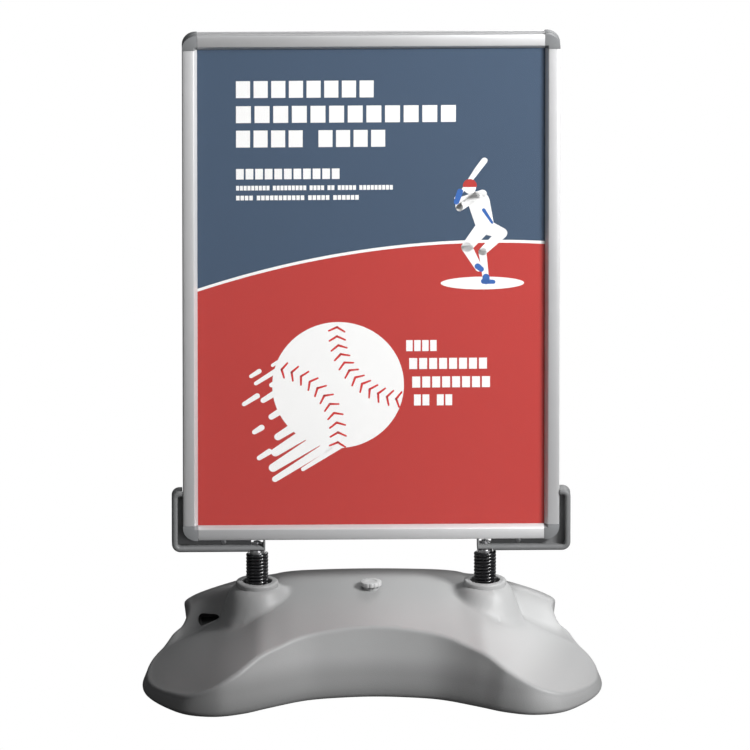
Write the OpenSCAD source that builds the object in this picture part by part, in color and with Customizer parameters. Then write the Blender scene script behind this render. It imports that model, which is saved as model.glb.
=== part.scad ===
// Double-sided poster sign on two springs over a hollow base that is filled with water.
// Millimetres, +Z up. Origin: centre of the base on the ground. The front looks along -Y.

/* [Posters] */
// Width of a poster
poster_w = 594; // [570:1:620]
// Height of a poster
poster_h = 841; // [800:1:880]
// How far a rail covers the poster's edge
rail_cover = 10; // [8:0.5:10]
// Thickness of the backing panel
panel_t = 2; // [1.5:0.1:2]
// Thickness of the printed sheet
print_t = 0.4; // [0.3:0.1:0.4]
// Thickness of the clear cover sheet
cover_t = 0.8; // [0.5:0.1:0.8]

/* [Snap frame] */
// Height of the frame's lower edge above the ground
frame_z = 230.5; // [230:0.5:234]
// Radius of a corner piece's outer corner
corner_r = 22; // [16:1:24]
// Radius of the bead that a lid turns on
bead_r = 1.6; // [1.5:0.05:1.6]
// Running clearance between bead and lid
bead_gap = 0.05; // [0.03:0.01:0.09]

/* [Brackets] */
// How far a bracket stands out beyond the frame
bracket_out = 18.5; // [17:0.5:22]
// Thickness of a bracket's rim
rim_t = 9.5; // [8:0.5:10]
// Thickness of a bracket's web, which is also the gap between the two frames
web_t = 3; // [2:0.5:4]
// Height above the ground at which a bracket's upright leg ends
bracket_top = 316; // [310:1:360]
// Distance of a bracket's inner end from the middle
bracket_in = 175.6; // [172:0.2:178]

/* [Springs] */
// Distance of a spring from the middle
spring_x = 189; // [187:1:191]
// Outer diameter of a spring
spring_d = 37; // [36:0.5:40]
// Diameter of the spring wire
wire_d = 5.6; // [5:0.1:5.7]
// Rise of one turn, a little over the wire's diameter
spring_pitch = 5.8; // [5.8:0.1:6]
// Height of the springs' lower ends
spring_z0 = 120; // [119:0.5:122]
// Height of the springs' upper ends
spring_z1 = 206.8; // [205:0.2:207.4]

/* [Base] */
// Width of the base
base_w = 762; // [740:1:790]
// Depth of the base
base_d = 512; // [500:1:530]
// Wall thickness of the tank
wall_t = 4; // [3:0.5:5]
// Radius of the hole in a spring boss
socket_r = 23.5; // [22.5:0.5:25]

/* [Filler cap] */
// Radius of the cap
cap_r = 17.5; // [16.5:0.5:18]
// Number of flutes round the cap
cap_flutes = 14; // [10:1:18]
// Running clearance between the neck and the cap
neck_gap = 0.05; // [0.03:0.01:0.09]

/* [Hidden] */
$fn = 64;

// Rail section, measured inwards (u) from the frame's outer edge and forwards (w) from its back
rail_w = 25;
rail_d = 13;
floor_t = 1.6;
stem_t = 1.6;
bead_u = 2.7;
bead_w = 9.4;
hook_t = 1.25;
lid_t = 1.5;
lip_u = 19;
lip_w = 5.1;
end_gap = 0.3;
panel_u = rail_w - rail_cover;
panel_clear = 0.5;
stack_w = floor_t + panel_t + print_t + cover_t;

// Frame
frame_w = poster_w + 2 * panel_u;
frame_h = poster_h + 2 * panel_u;
frame_mid = frame_z + frame_h / 2;
rail_len_x = frame_w - 2 * rail_w;
rail_len_z = frame_h - 2 * rail_w;
rivet_u = 7.6;
rivet_r = 1.9;
rivet_head_r = 3.4;
rivet_inset = 44.5;
rivet_x = 200;
clip_w = 40;

// Brackets, springs and their plugs
rim_y = web_t / 2 + rail_d + 1.5;
bracket_z = frame_z - 20;
recess_x = 12.7;
recess_h = 4;
rim_end = 3.3;
shelf_z = bracket_z + rim_t;
bracket_edge = frame_w / 2 + bracket_out;
web_bolt_x = 244.6;
web_bolt_z = shelf_z + 5;
coil_r = (spring_d - wire_d) / 2;
plug_r = spring_d / 2 - wire_d - 0.5;
bolt_r = 4;
anchor_bolt_r = 5;
insert_r = 9;

// Tank
boss_z = 157;
boss_r = 35.5;
ring_z = 149;
socket_floor = 118;
column_r = socket_r + 4;
column_z = 84;
insert_z = 92;
crest_y = 60;
wing_y = 48;
spine_y = 20;
spine_end = 170;
pad_z = 147;
pad_r = 19.5;
neck_r = 13;
neck_bore_r = 10.5;
neck_z = 151.5;
seal_t = 1.5;
cap_z = 147.5;
cap_h = 7;
grip_x = 268;
grip_y = 44;
grip_z = 81;
grip_w = 38;
grip_h = 19;
grip_deep = 52;

// ---- curves -------------------------------------------------------------------------------------

function ease(a, b, x) = let (t = max(0, min(1, (x - a) / (b - a)))) t * t * (3 - 2 * t);
function blend(a, b, t) = a + (b - a) * t;
// A ramp that starts at 0 and turns over the width r
function ramp(d, r) = (d + sqrt(d * d + r * r)) / 2;
// The higher of two heights, rounded over k where they meet
function higher(a, b, k) = let (h = max(k - abs(a - b), 0) / k) max(a, b) + h * h * k / 4;
function spline(p, q, r, s, t) =
    0.5 * (2 * q + (r - p) * t + (2 * p - 5 * q + 4 * r - s) * t * t + (3 * q - p - 3 * r + s) * t * t * t);
// Slope of a curve at its knot i, level at its first one
function slope_at(k, i) =
    i == 0 ? 0
    : i == len(k) - 1 ? (k[i][1] - k[i - 1][1]) / (k[i][0] - k[i - 1][0])
    : (k[i + 1][1] - k[i - 1][1]) / (k[i + 1][0] - k[i - 1][0]);
// Smooth curve through knots [distance, value]
function along(k, x0) =
    let (
        x = min(x0, k[len(k) - 1][0]),
        i = max([for (j = [0 : len(k) - 2]) if (x >= k[j][0]) j]),
        h = k[i + 1][0] - k[i][0],
        t = (x - k[i][0]) / h
    )
    (2 * t * t * t - 3 * t * t + 1) * k[i][1] + (t * t * t - 2 * t * t + t) * h * slope_at(k, i)
    + (3 * t * t - 2 * t * t * t) * k[i + 1][1] + (t * t * t - t * t) * h * slope_at(k, i + 1);
function arc(c, r, a0, a1, n) = [for (i = [0 : n]) c + r * [cos(blend(a0, a1, i / n)), sin(blend(a0, a1, i / n))]];

// ---- shape of the tank --------------------------------------------------------------------------

// Half of the tank's outline from the front middle round to the rear middle: x, y and how far the
// wall leans inwards on its way up
OUTLINE = [
    [0, -151, 26], [60, -157, 25], [114, -172, 23], [174, -211, 18], [215, -240, 13], [263, -256, 10],
    [313, -242, 8], [350, -195, 8], [373, -145, 7], [381, -98, 6], [377, -45, 6], [362, 0, 6],
    [336, 32, 6], [309, 45, 3], [299, 60, -6], [299, 100, -10], [299, 150, -6], [289, 205, 6],
    [254, 243, 14], [205, 256, 20], [110, 236, 22], [0, 218, 22]
];
// Height of the front slope along the sign's plane, and its steepness
SLOPE_Z = [[0, 146], [100, 143.5], [150, 139], [185, 127], [204, 113], [240, 93], [277, 71], [310, 54], [345, 38], [381, 23]];
SLOPE_G = [[0, 0.24], [150, 0.243], [185, 0.19], [204, 0.152], [240, 0.132], [300, 0.1], [381, 0.06]];
// Height of the rear body's crest
CREST_Z = [[0, 148], [100, 146.5], [130, 144.5], [165, 139.5], [200, 133], [240, 121.5], [280, 107.5], [298, 98.5], [312, 88]];

// Skirt of a spring boss: distance out from the ring and how far down
SKIRT = [[22, 45], [17, 28.5], [12, 15.6], [6.5, 5.8], [0, 0]];

half_n = len(OUTLINE);
LOOP = concat(OUTLINE, [for (i = [half_n - 2 : -1 : 1]) [-OUTLINE[i][0], OUTLINE[i][1], OUTLINE[i][2]]]);
loop_n = len(LOOP);
function knot(i) = LOOP[(i + loop_n) % loop_n];
// The outline in steps between knots, scaled to the base's width and depth
function round_the_loop(steps) =
    let (
        raw = [for (i = [0 : loop_n - 1], j = [0 : steps - 1])
            spline(knot(i - 1), knot(i), knot(i + 1), knot(i + 2), j / steps)],
        x_most = max([for (p = raw) p[0]]),
        y_least = min([for (p = raw) p[1]]),
        y_most = max([for (p = raw) p[1]])
    )
    [for (p = raw) [
        p[0] * base_w / 2 / x_most,
        (p[1] - (y_least + y_most) / 2) * base_d / (y_most - y_least),
        p[2]
    ]];

// Height of the tank's top above the point x, y
function front_z(x, y) =
    let (
        outer = ease(150, 200, x),
        y_edge = blend(crest_y, -10, outer) + 55 * ease(200, 300, x),
        steep = along(SLOPE_G, x),
        back = blend(0.35, 0.8, outer)
    )
    along(SLOPE_Z, x) + steep * y - (steep + back) * ramp(y - y_edge, blend(38, 12, outer));
function rear_z(x, y) =
    let (
        outer = ease(160, 225, x),
        steep = blend(0.32, 1.6, outer),
        fall = 0.32,
        r = blend(30, 16, outer),
        d = y - blend(crest_y, wing_y, outer)
    )
    along(CREST_Z, x) + steep * d + (steep + fall) * (r / 2 - ramp(d, r));
function top_z(x, y) = higher(front_z(abs(x), y), rear_z(abs(x), y), 10);

// Rings of points from the tank's foot up to the spine, each moved inwards by t for the inner wall
function inwards(loop, i) =
    let (n = len(loop), d = loop[(i + 1) % n] - loop[(i + n - 1) % n], l = norm([d[0], d[1]])) [-d[1], d[0]] / l;
function tank_rings(loop, t, walls, shoulders, tops) =
    let (
        n = len(loop),
        pts = [for (i = [0 : n - 1])
            let (
                p = [loop[i][0], loop[i][1]],
                v = inwards(loop, i),
                lean = loop[i][2],
                rim = p + v * (lean + t + 8),
                zt = top_z(rim[0], rim[1]) - t,
                e = min(1, zt / 34),
                turn = (i % (n / 2)) / (n / 2),
                side = i <= n / 2 ? 1 : -1,
                spine = [side * spine_end * (1 - abs(1 - 2 * turn)), spine_y + 0.04 * p[1]]
            ) [p, v, lean, zt, e, spine]]
    )
    concat(
        [for (f = [[0, 5], [1.5, 1.6]])
            [for (q = pts) let (o = q[0] + q[1] * (t + f[1] * q[4])) [o[0], o[1], t + f[0] * q[4]]]],
        [for (k = [0 : walls])
            [for (q = pts) let (f = k / (walls + 1), o = q[0] + q[1] * (t + q[2] * f))
                [o[0], o[1], blend(t + 6 * q[4], q[3] - 8 * q[4], f)]]],
        [for (k = [0 : shoulders])
            [for (q = pts)
                let (a = 90 * k / shoulders, o = q[0] + q[1] * (t + q[2] + 8 * (1 - cos(a))))
                [o[0], o[1], q[3] - 8 * q[4] * (1 - sin(a))]]],
        [for (k = [1 : tops])
            [for (q = pts)
                let (o = blend(q[0] + q[1] * (t + q[2] + 8), q[5], k / tops))
                [o[0], o[1], top_z(o[0], o[1]) - t]]]
    );

// Triangles from the front half of a ring across to its rear half, for the ring that starts at point b
function across(b, n) =
    let (h = n / 2, pairs = ceil(h / 2) - 2)
    concat(
        [for (i = [0 : pairs]) each [[b + i, b + h - i, b + h - i - 1], [b + i, b + h - i - 1, b + i + 1]]],
        [for (i = [0 : pairs]) let (p = b + (n - i) % n)
            each [[p, b + n - i - 1, b + h + i + 1], [p, b + h + i + 1, b + h + i]]],
        h % 2 == 1 ? [] : [
            [b + h / 2 - 1, b + h / 2 + 1, b + h / 2],
            [b + n - h / 2 + 1, b + n - h / 2, b + n - h / 2 - 1]
        ]
    );
function flipped(faces) = [for (f = faces) [f[2], f[1], f[0]]];

module lofted(rings) {
    m = len(rings);
    n = len(rings[0]);
    sides = [
        for (k = [0 : m - 2], i = [0 : n - 1]) let (j = (i + 1) % n, a = k * n, b = a + n)
            each [[a + i, b + i, b + j], [a + i, b + j, a + j]]
    ];
    polyhedron([for (r = rings) each r], concat(flipped(across(0, n)), sides, across((m - 1) * n, n)), convexity = 8);
}

// Spring boss: a skirt that rises out of the tank's top, with a ring on it
module boss() {
    rotate_extrude() polygon(concat(
        [[0, column_z], [column_r + 4, column_z]],
        [for (r = SKIRT) [boss_r + r[0], ring_z - r[1]]],
        arc([boss_r - 4, boss_z - 4], 4, 0, 90, 4),
        arc([socket_r + 3, boss_z - 3], 3, 90, 180, 4),
        [[socket_r, boss_z - 20], [0, boss_z - 20]]
    ));
}

module both_sides() {
    for (s = [-1, 1]) translate([s * spring_x, 0, 0]) children();
}

// Finger grip under the left shoulder: a slot with round ends, larger all round by extra
module grip(extra) {
    r = grip_h / 2 + extra;
    translate([-grip_x, grip_y, grip_z]) rotate([90, 0, 0]) linear_extrude(grip_deep + 2 * extra, center = true) {
        square([grip_w - grip_h, 2 * r], center = true);
        for (s = [-1, 1]) translate([s * (grip_w - grip_h) / 2, 0]) circle(r = r);
    }
}

// The tank's hollow: the inner wall, less what hangs down into it from the outer shape
module cavity() {
    difference() {
        lofted(tank_rings(round_the_loop(2), wall_t, 1, 2, 5));
        both_sides() translate([0, 0, column_z]) cylinder(r = column_r, h = 100);
        translate([0, 0, pad_z - 8]) cylinder(r = pad_r + 4, h = 40);
        grip(wall_t);
    }
}

module base_tank() {
    color([0.55, 0.56, 0.56]) difference() {
        union() {
            lofted(tank_rings(round_the_loop(3), 0, 2, 3, 7));
            both_sides() boss();
            translate([0, 0, pad_z - 20]) cylinder(r = pad_r, h = 20);
        }
        cavity();
        both_sides() {
            translate([0, 0, socket_floor]) cylinder(r = socket_r, h = 60);
            translate([0, 0, insert_z]) cylinder(r = insert_r, h = 40);
        }
        translate([0, 0, pad_z]) difference() {
            cylinder(r = pad_r + 1, h = 20);
            translate([0, 0, -1]) cylinder(r = neck_r, h = neck_z - pad_z + 1);
        }
        translate([0, 0, pad_z - 20]) cylinder(r = neck_bore_r, h = 60);
        grip(0);
    }
}

// ---- springs, anchors and plugs -----------------------------------------------------------------

module coil_spring() {
    sides = 6;
    steps = 14;
    turns = (spring_z1 - spring_z0 - wire_d) / spring_pitch;
    n = floor(turns * steps);
    pts = [
        for (i = [0 : n], j = [0 : sides - 1])
            let (a = 360 * i / steps, b = 360 * j / sides, r = coil_r + wire_d / 2 * cos(b))
            [r * cos(a), r * sin(a), spring_z0 + wire_d / 2 + spring_pitch * i / steps + wire_d / 2 * sin(b)]
    ];
    skin = [
        for (i = [0 : n - 1], j = [0 : sides - 1]) let (k = (j + 1) % sides, a = i * sides, b = a + sides)
            each [[a + j, a + k, b + k], [a + j, b + k, b + j]]
    ];
    polyhedron(pts, concat([[for (j = [sides - 1 : -1 : 0]) j]], skin, [[for (j = [0 : sides - 1]) n * sides + j]]));
}
module spring_left() color([0.12, 0.12, 0.13]) translate([-spring_x, 0, 0]) coil_spring();
module spring_right() color([0.12, 0.12, 0.13]) translate([spring_x, 0, 0]) coil_spring();

module moulded_inserts() {
    color([0.75, 0.62, 0.35]) both_sides() difference() {
        translate([0, 0, insert_z]) cylinder(r = insert_r, h = socket_floor - insert_z);
        translate([0, 0, insert_z + 4]) cylinder(r = anchor_bolt_r, h = socket_floor);
    }
}

module spring_anchors() {
    color([0.6, 0.6, 0.62]) both_sides() difference() {
        union() {
            translate([0, 0, socket_floor]) cylinder(r = socket_r - 1, h = spring_z0 - socket_floor);
            translate([0, 0, socket_floor]) cylinder(r = plug_r, h = 28);
        }
        translate([0, 0, socket_floor - 1]) cylinder(r = anchor_bolt_r + 0.3, h = 40);
    }
}

module hex_bolt(r, length, head_r, head_h) {
    translate([0, 0, -length]) cylinder(r = r, h = length + 0.01);
    cylinder(r = head_r, h = head_h, $fn = 6);
}

module anchor_bolts() {
    color([0.7, 0.7, 0.72]) both_sides() translate([0, 0, socket_floor + 28]) hex_bolt(anchor_bolt_r, 46, 9, 6.4);
}

module spring_cap() {
    top = bracket_z + recess_h;
    difference() {
        rotate_extrude() polygon(concat(
            [[0, spring_z1 - 20], [plug_r, spring_z1 - 20]],
            arc([plug_r - 6, top - 6], 6, 0, 90, 6),
            [[0, top]]
        ));
        translate([0, 0, spring_z1 - 21]) cylinder(r = bolt_r, h = 60);
    }
}
module spring_cap_left() color([0.82, 0.82, 0.83]) translate([-spring_x, 0, 0]) spring_cap();
module spring_cap_right() color([0.82, 0.82, 0.83]) translate([spring_x, 0, 0]) spring_cap();
module cap_bolts() color([0.85, 0.85, 0.86]) both_sides() translate([0, 0, shelf_z]) hex_bolt(bolt_r, 34, 7, 5);

// ---- filler cap ---------------------------------------------------------------------------------

module filler_seal() {
    color([0.1, 0.1, 0.1]) translate([0, 0, neck_z]) difference() {
        cylinder(r = neck_r - 0.2, h = seal_t);
        translate([0, 0, -1]) cylinder(r = neck_bore_r + 0.3, h = seal_t + 2);
    }
}

module filler_cap() {
    color([0.7, 0.7, 0.7]) difference() {
        translate([0, 0, cap_z]) cylinder(r = cap_r, h = cap_h);
        translate([0, 0, cap_z - 1]) cylinder(r = neck_r + neck_gap, h = neck_z + seal_t - cap_z + 1);
        for (i = [0 : cap_flutes - 1]) rotate([0, 0, 360 * i / cap_flutes])
            translate([cap_r + 0.7, 0, cap_z - 1]) cylinder(r = 1.8, h = cap_h + 2);
        translate([0, 0, cap_z + cap_h - 0.6]) cylinder(r = 9, h = 1);
    }
}

// ---- brackets -----------------------------------------------------------------------------------

// Outline of the right-hand bracket
function bracket_outline() = concat(
    arc([bracket_in + 3.5, bracket_z + 3.5], 3.5, 180, 270, 4),
    arc([bracket_edge - 14, bracket_z + 14], 14, 270, 360, 8),
    arc([bracket_edge - 13, bracket_top - 13], 13, 0, 90, 8),
    [[frame_w / 2 - 24, bracket_top], [frame_w / 2 - 24, frame_z + 24], [bracket_in, frame_z + 24]]
);
// What its rim encloses
function bracket_inside() = concat(
    [[bracket_in + rim_end, shelf_z]],
    arc([bracket_edge - 14, bracket_z + 14], 14 - rim_t, 270, 360, 8),
    arc([bracket_edge - 13, bracket_top - 13], 13 - rim_t, 0, 90, 8),
    [
        [frame_w / 2 - 24, bracket_top - rim_t],
        [frame_w / 2 - 24, frame_z + 24],
        [bracket_in + rim_end, frame_z + 24]
    ]
);

module upright(h) {
    rotate([90, 0, 0]) linear_extrude(h, center = true) children();
}

module bracket() {
    difference() {
        union() {
            upright(web_t) polygon(bracket_outline());
            upright(2 * rim_y) difference() {
                polygon(bracket_outline());
                polygon(bracket_inside());
                translate([0, frame_z - 0.8]) square([frame_w / 2 + 0.8, frame_h]);
            }
        }
        translate([spring_x, 0, bracket_z - 1]) cylinder(r = bolt_r + 0.2, h = rim_t + 2);
        translate([spring_x, 0, bracket_z]) cube([2 * recess_x, 4 * rim_y, 2 * recess_h], center = true);
        translate([spring_x, 0, shelf_z + 4.7]) cube([20, web_t + 1, 9.4], center = true);
        translate([web_bolt_x, 0, web_bolt_z]) rotate([90, 0, 0]) cylinder(r = 2.5, h = 20, center = true);
        translate([0, 0, frame_z]) bracket_rivet_places() rotate([90, 0, 0]) cylinder(r = rivet_r, h = 20, center = true);
    }
}
module bracket_rivet_places() {
    translate([frame_w / 2 - rivet_u, 0, rail_w + rivet_inset]) children();
    translate([rivet_x, 0, rivet_u]) children();
}
module bracket_right() color([0.5, 0.5, 0.51]) bracket();
module bracket_left() color([0.5, 0.5, 0.51]) mirror([1, 0, 0]) bracket();

module web_bolt_places() {
    for (s = [-1, 1]) translate([s * web_bolt_x, 0, web_bolt_z]) children();
}
module web_bolts() {
    color([0.85, 0.85, 0.86]) web_bolt_places() rotate([90, 0, 0]) {
        translate([0, 0, -web_t / 2 - 5]) cylinder(r = 2.5, h = web_t + 5.1);
        translate([0, 0, web_t / 2]) cylinder(r = 4.4, h = 2.4);
    }
}
module web_nuts() {
    color([0.85, 0.85, 0.86]) web_bolt_places() rotate([-90, 0, 0]) translate([0, 0, web_t / 2]) difference() {
        cylinder(r = 4.6, h = 4, $fn = 6);
        translate([0, 0, -1]) cylinder(r = 2.5, h = 6);
    }
}

// ---- placing on the frame -----------------------------------------------------------------------

// Front frame: 0 left, -90 bottom, 180 right, 90 top. Children are drawn in the rail section's own
// directions: u along X, w along Y, and the rail's length along Z.
module on_side(turn) {
    reach = (turn == 0 || turn == 180) ? frame_w / 2 : frame_h / 2;
    translate([0, -web_t / 2, frame_mid]) rotate([0, turn, 0]) translate([-reach, 0, 0]) rotate([180, 0, 0]) children();
}
// The rear frame is the front one turned round, so its left is at the left of someone behind it
module rear() {
    rotate([0, 0, 180]) children();
}
function side_len(turn) = (turn == 0 || turn == 180) ? rail_len_z : rail_len_x;
module every_rivet() {
    for (turn = [0, 180]) on_side(turn) for (l = [-1, 0, 1])
        translate([rivet_u, 0, l * (rail_len_z / 2 - rivet_inset)]) rotate([90, 0, 0]) children();
    for (turn = [-90, 90]) on_side(turn) for (l = [-1, 0, 1])
        translate([rivet_u, 0, l * rivet_x]) rotate([90, 0, 0]) children();
}

// ---- snap frame pieces --------------------------------------------------------------------------

module rail_section() {
    square([rail_w - 1, floor_t]);
    translate([bead_u - stem_t / 2, 0]) square([stem_t, bead_w]);
    translate([bead_u, bead_w]) circle(r = bead_r);
    translate([11.5, 0]) square([1.2, 8.6]);
}
module rail(turn) {
    difference() {
        on_side(turn) linear_extrude(side_len(turn) - 0.4, center = true) rail_section();
        every_rivet() cylinder(r = rivet_r, h = 8, center = true);
    }
}

// Hook round the bead, plate and lip in one outline; the bore over the bead is round
module lid_section() {
    bead = [bead_u, bead_w];
    hook_r = bead_r + bead_gap + hook_t;
    difference() {
        polygon(concat(
            [bead],
            arc(bead, hook_r, 150, 100, 4),
            [
                [3.2, 12.6], [6, rail_d - 0.05], [lip_u - 0.6, rail_d - 0.05], [lip_u + 0.3, 12.6],
                [rail_w - 0.1, lip_w + 0.8], [rail_w, lip_w], [rail_w - 1.1, lip_w], [lip_u - 0.9, rail_d - lid_t],
                [6, rail_d - lid_t]
            ],
            arc(bead, hook_r, 25, -40, 4)
        ));
        translate(bead) circle(r = bead_r + bead_gap);
    }
}
module lid(turn) {
    on_side(turn) linear_extrude(side_len(turn) - 2 * end_gap, center = true) lid_section();
}

// Bevel that a corner shares with the lids' lips, as the solid above it
module lip_bevel() {
    linear_extrude(rail_w + 10) polygon([
        [lip_u, rail_d], [rail_w, lip_w], [rail_w + 5, lip_w], [rail_w + 5, rail_d + 5], [lip_u, rail_d + 5]
    ]);
}
// One corner of the front frame at the frame's corner point: u along X, w along Y, the other rail's
// inward direction along Z
module corner_piece() {
    difference() {
        rotate([90, 0, 0]) mirror([0, 0, 1]) linear_extrude(rail_d) difference() {
            square(rail_w);
            difference() {
                square(corner_r);
                translate([corner_r, corner_r]) circle(r = corner_r);
            }
        }
        rotate([90, 0, 0]) mirror([0, 0, 1]) translate([0, 0, -1]) linear_extrude(11.5) difference() {
            translate([3, 3]) square(rail_w - 6);
            difference() {
                square(corner_r);
                translate([corner_r, corner_r]) circle(r = corner_r - 3);
            }
        }
        translate([panel_u - panel_clear, floor_t - 0.1, panel_u - panel_clear])
            cube([rail_w, stack_w - floor_t + 0.4, rail_w]);
        intersection() {
            lip_bevel();
            mirror([1, 0, 0]) rotate([0, -90, 0]) lip_bevel();
        }
    }
    translate([rail_w - 2, floor_t + 0.2, 4.2]) cube([32, 3.8, 6.4]);
    translate([4.2, floor_t + 0.2, rail_w - 2]) cube([6.4, 3.8, 32]);
}
// sx and sz point from the corner towards the frame's middle
module corner(sx, sz) {
    color([0.42, 0.42, 0.43]) translate([-sx * frame_w / 2, -web_t / 2, frame_mid - sz * frame_h / 2])
        scale([sx, -1, sz]) corner_piece();
}

module sheet_at(w, t, play) {
    translate([-poster_w / 2 + play, -web_t / 2 - w - t, frame_mid - poster_h / 2 + play])
        cube([poster_w - 2 * play, t, poster_h - 2 * play]);
}
module panel() color([0.85, 0.85, 0.83]) sheet_at(floor_t, panel_t, 0.2);
module poster() color([0.3, 0.38, 0.48]) sheet_at(floor_t + panel_t, print_t, 0);
module cover() color([0.9, 0.95, 1, 0.3]) sheet_at(floor_t + panel_t + print_t, cover_t, 0.1);

module clip() {
    linear_extrude(clip_w, center = true) polygon([
        [4, floor_t], [10.4, floor_t], [11, floor_t + 0.8], [6.4, 7.1], [6, 6.6], [9.9, floor_t + 0.9],
        [9.7, floor_t + 0.6], [4, floor_t + 0.6]
    ]);
}
module clips() {
    color([0.6, 0.6, 0.6]) for (turn = [0, 90, 180, -90], l = [-1, 1])
        on_side(turn) translate([0, 0, l * side_len(turn) / 4]) clip();
}

module frame_rivets() {
    back = floor_t;
    color([0.75, 0.75, 0.76]) every_rivet() {
        translate([0, 0, -back]) cylinder(r = rivet_r, h = 2 * back + web_t);
        translate([0, 0, -back - 1]) cylinder(r = rivet_head_r, h = 1);
        translate([0, 0, back + web_t]) cylinder(r = rivet_head_r, h = 1);
    }
}
module frame_spacers() {
    color([0.5, 0.5, 0.5]) difference() {
        union() {
            for (turn = [0, 180], l = [0, 1])
                on_side(turn) spacer_at(l * (turn == 0 ? -1 : 1) * (rail_len_z / 2 - rivet_inset));
            on_side(90) for (l = [-1, 0, 1]) spacer_at(l * rivet_x);
            on_side(-90) spacer_at(0);
        }
        every_rivet() cylinder(r = rivet_r, h = 20, center = true);
    }
}
module spacer_at(l) {
    translate([rivet_u, 0, l]) rotate([90, 0, 0]) cylinder(r = 6, h = web_t);
}

module rail_colour() color([0.78, 0.78, 0.79]) children();
module lid_colour() color([0.82, 0.82, 0.83]) children();

// ---- drawing ------------------------------------------------------------------------------------

base_tank();
moulded_inserts();
spring_anchors();
anchor_bolts();
spring_left();
spring_right();
filler_seal();
filler_cap();
spring_cap_left();
spring_cap_right();
cap_bolts();
bracket_left();
bracket_right();
web_bolts();
web_nuts();
frame_rivets();
frame_spacers();
rail_colour() rail(0);  // front_rail_left
rail_colour() rail(180);  // front_rail_right
rail_colour() rail(90);  // front_rail_top
rail_colour() rail(-90);  // front_rail_bottom
corner(1, -1);  // front_corner_top_left
corner(-1, -1);  // front_corner_top_right
corner(1, 1);  // front_corner_bottom_left
corner(-1, 1);  // front_corner_bottom_right
panel();  // front_panel
poster();  // front_poster
cover();  // front_cover
clips();  // front_clips
lid_colour() lid(0);  // front_lid_left
lid_colour() lid(180);  // front_lid_right
lid_colour() lid(90);  // front_lid_top
lid_colour() lid(-90);  // front_lid_bottom
rear() rail_colour() rail(0);  // rear_rail_left
rear() rail_colour() rail(180);  // rear_rail_right
rear() rail_colour() rail(90);  // rear_rail_top
rear() rail_colour() rail(-90);  // rear_rail_bottom
rear() corner(1, -1);  // rear_corner_top_left
rear() corner(-1, -1);  // rear_corner_top_right
rear() corner(1, 1);  // rear_corner_bottom_left
rear() corner(-1, 1);  // rear_corner_bottom_right
rear() panel();  // rear_panel
rear() poster();  // rear_poster
rear() cover();  // rear_cover
rear() clips();  // rear_clips
rear() lid_colour() lid(0);  // rear_lid_left
rear() lid_colour() lid(180);  // rear_lid_right
rear() lid_colour() lid(90);  // rear_lid_top
rear() lid_colour() lid(-90);  // rear_lid_bottom
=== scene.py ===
"""A double-sided poster sign on two springs over a hollow ballast base.

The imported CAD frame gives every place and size, and this script gives each piece its looks.
"""

import logging
import math
from dataclasses import dataclass, field
from enum import Enum
from typing import Callable, Sequence

import bpy
from mathutils import Matrix, Vector


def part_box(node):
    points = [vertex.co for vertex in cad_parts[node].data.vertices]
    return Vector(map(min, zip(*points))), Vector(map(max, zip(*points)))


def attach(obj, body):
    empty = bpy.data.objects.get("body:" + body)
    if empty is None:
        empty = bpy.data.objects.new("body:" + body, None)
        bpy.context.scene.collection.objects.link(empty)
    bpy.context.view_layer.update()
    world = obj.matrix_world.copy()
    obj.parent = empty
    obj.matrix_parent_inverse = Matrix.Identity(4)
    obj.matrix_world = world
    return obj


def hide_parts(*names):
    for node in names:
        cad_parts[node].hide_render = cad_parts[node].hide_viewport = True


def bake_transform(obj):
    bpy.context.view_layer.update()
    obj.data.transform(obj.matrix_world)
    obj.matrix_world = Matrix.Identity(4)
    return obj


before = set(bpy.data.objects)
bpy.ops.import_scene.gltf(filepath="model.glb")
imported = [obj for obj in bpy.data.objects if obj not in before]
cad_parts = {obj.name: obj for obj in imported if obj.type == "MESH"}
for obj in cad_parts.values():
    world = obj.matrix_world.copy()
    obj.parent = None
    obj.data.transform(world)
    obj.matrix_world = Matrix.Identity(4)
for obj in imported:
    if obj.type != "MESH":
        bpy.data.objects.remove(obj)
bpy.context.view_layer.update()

MM = 0.001
DOUBLES = 1e-6
SLIVERS = 1e-7
CUT_SLACK = 0.01
UPRIGHT = Matrix(((1, 0, 0, 0), (0, 0, 1, 0), (0, 1, 0, 0), (0, 0, 0, 1)))
SIDEWAYS = Matrix(((0, 0, 1, 0), (1, 0, 0, 0), (0, 1, 0, 0), (0, 0, 0, 1)))
Point2 = tuple[float, float]
Colour = tuple[float, float, float]

logging.basicConfig(level=logging.INFO, format="%(name)s: %(message)s")
log = logging.getLogger("sign")


# ---- bench: the modelling moves that every sub-assembly uses ----


def clear_selection() -> None:
    """Deselects everything, so that the next primitive stands alone."""
    if bpy.context.object and bpy.context.object.mode != "OBJECT":
        bpy.ops.object.mode_set(mode="OBJECT")
    bpy.ops.object.select_all(action="DESELECT")


def solo(piece: bpy.types.Object) -> None:
    """Leaves object mode on with only this piece selected and active."""
    clear_selection()
    piece.select_set(True)
    bpy.context.view_layer.objects.active = piece


def named(piece: bpy.types.Object, name: str) -> bpy.types.Object:
    """Gives a piece and its mesh a name, and hands the piece back."""
    piece.name = name
    piece.data.name = name
    return piece


def place_applied() -> bpy.types.Object:
    """Moves the active piece's place, turn and scale into its mesh, and hands the piece back."""
    bpy.ops.object.transform_apply(location=True, rotation=True, scale=True)
    return bpy.context.object


def edit_all(piece: bpy.types.Object) -> None:
    """Opens the piece in edit mode with all of it selected."""
    solo(piece)
    bpy.ops.object.mode_set(mode="EDIT")
    bpy.ops.mesh.select_all(action="SELECT")


def close_edit() -> None:
    """Goes back to object mode."""
    bpy.ops.object.mode_set(mode="OBJECT")


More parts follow.
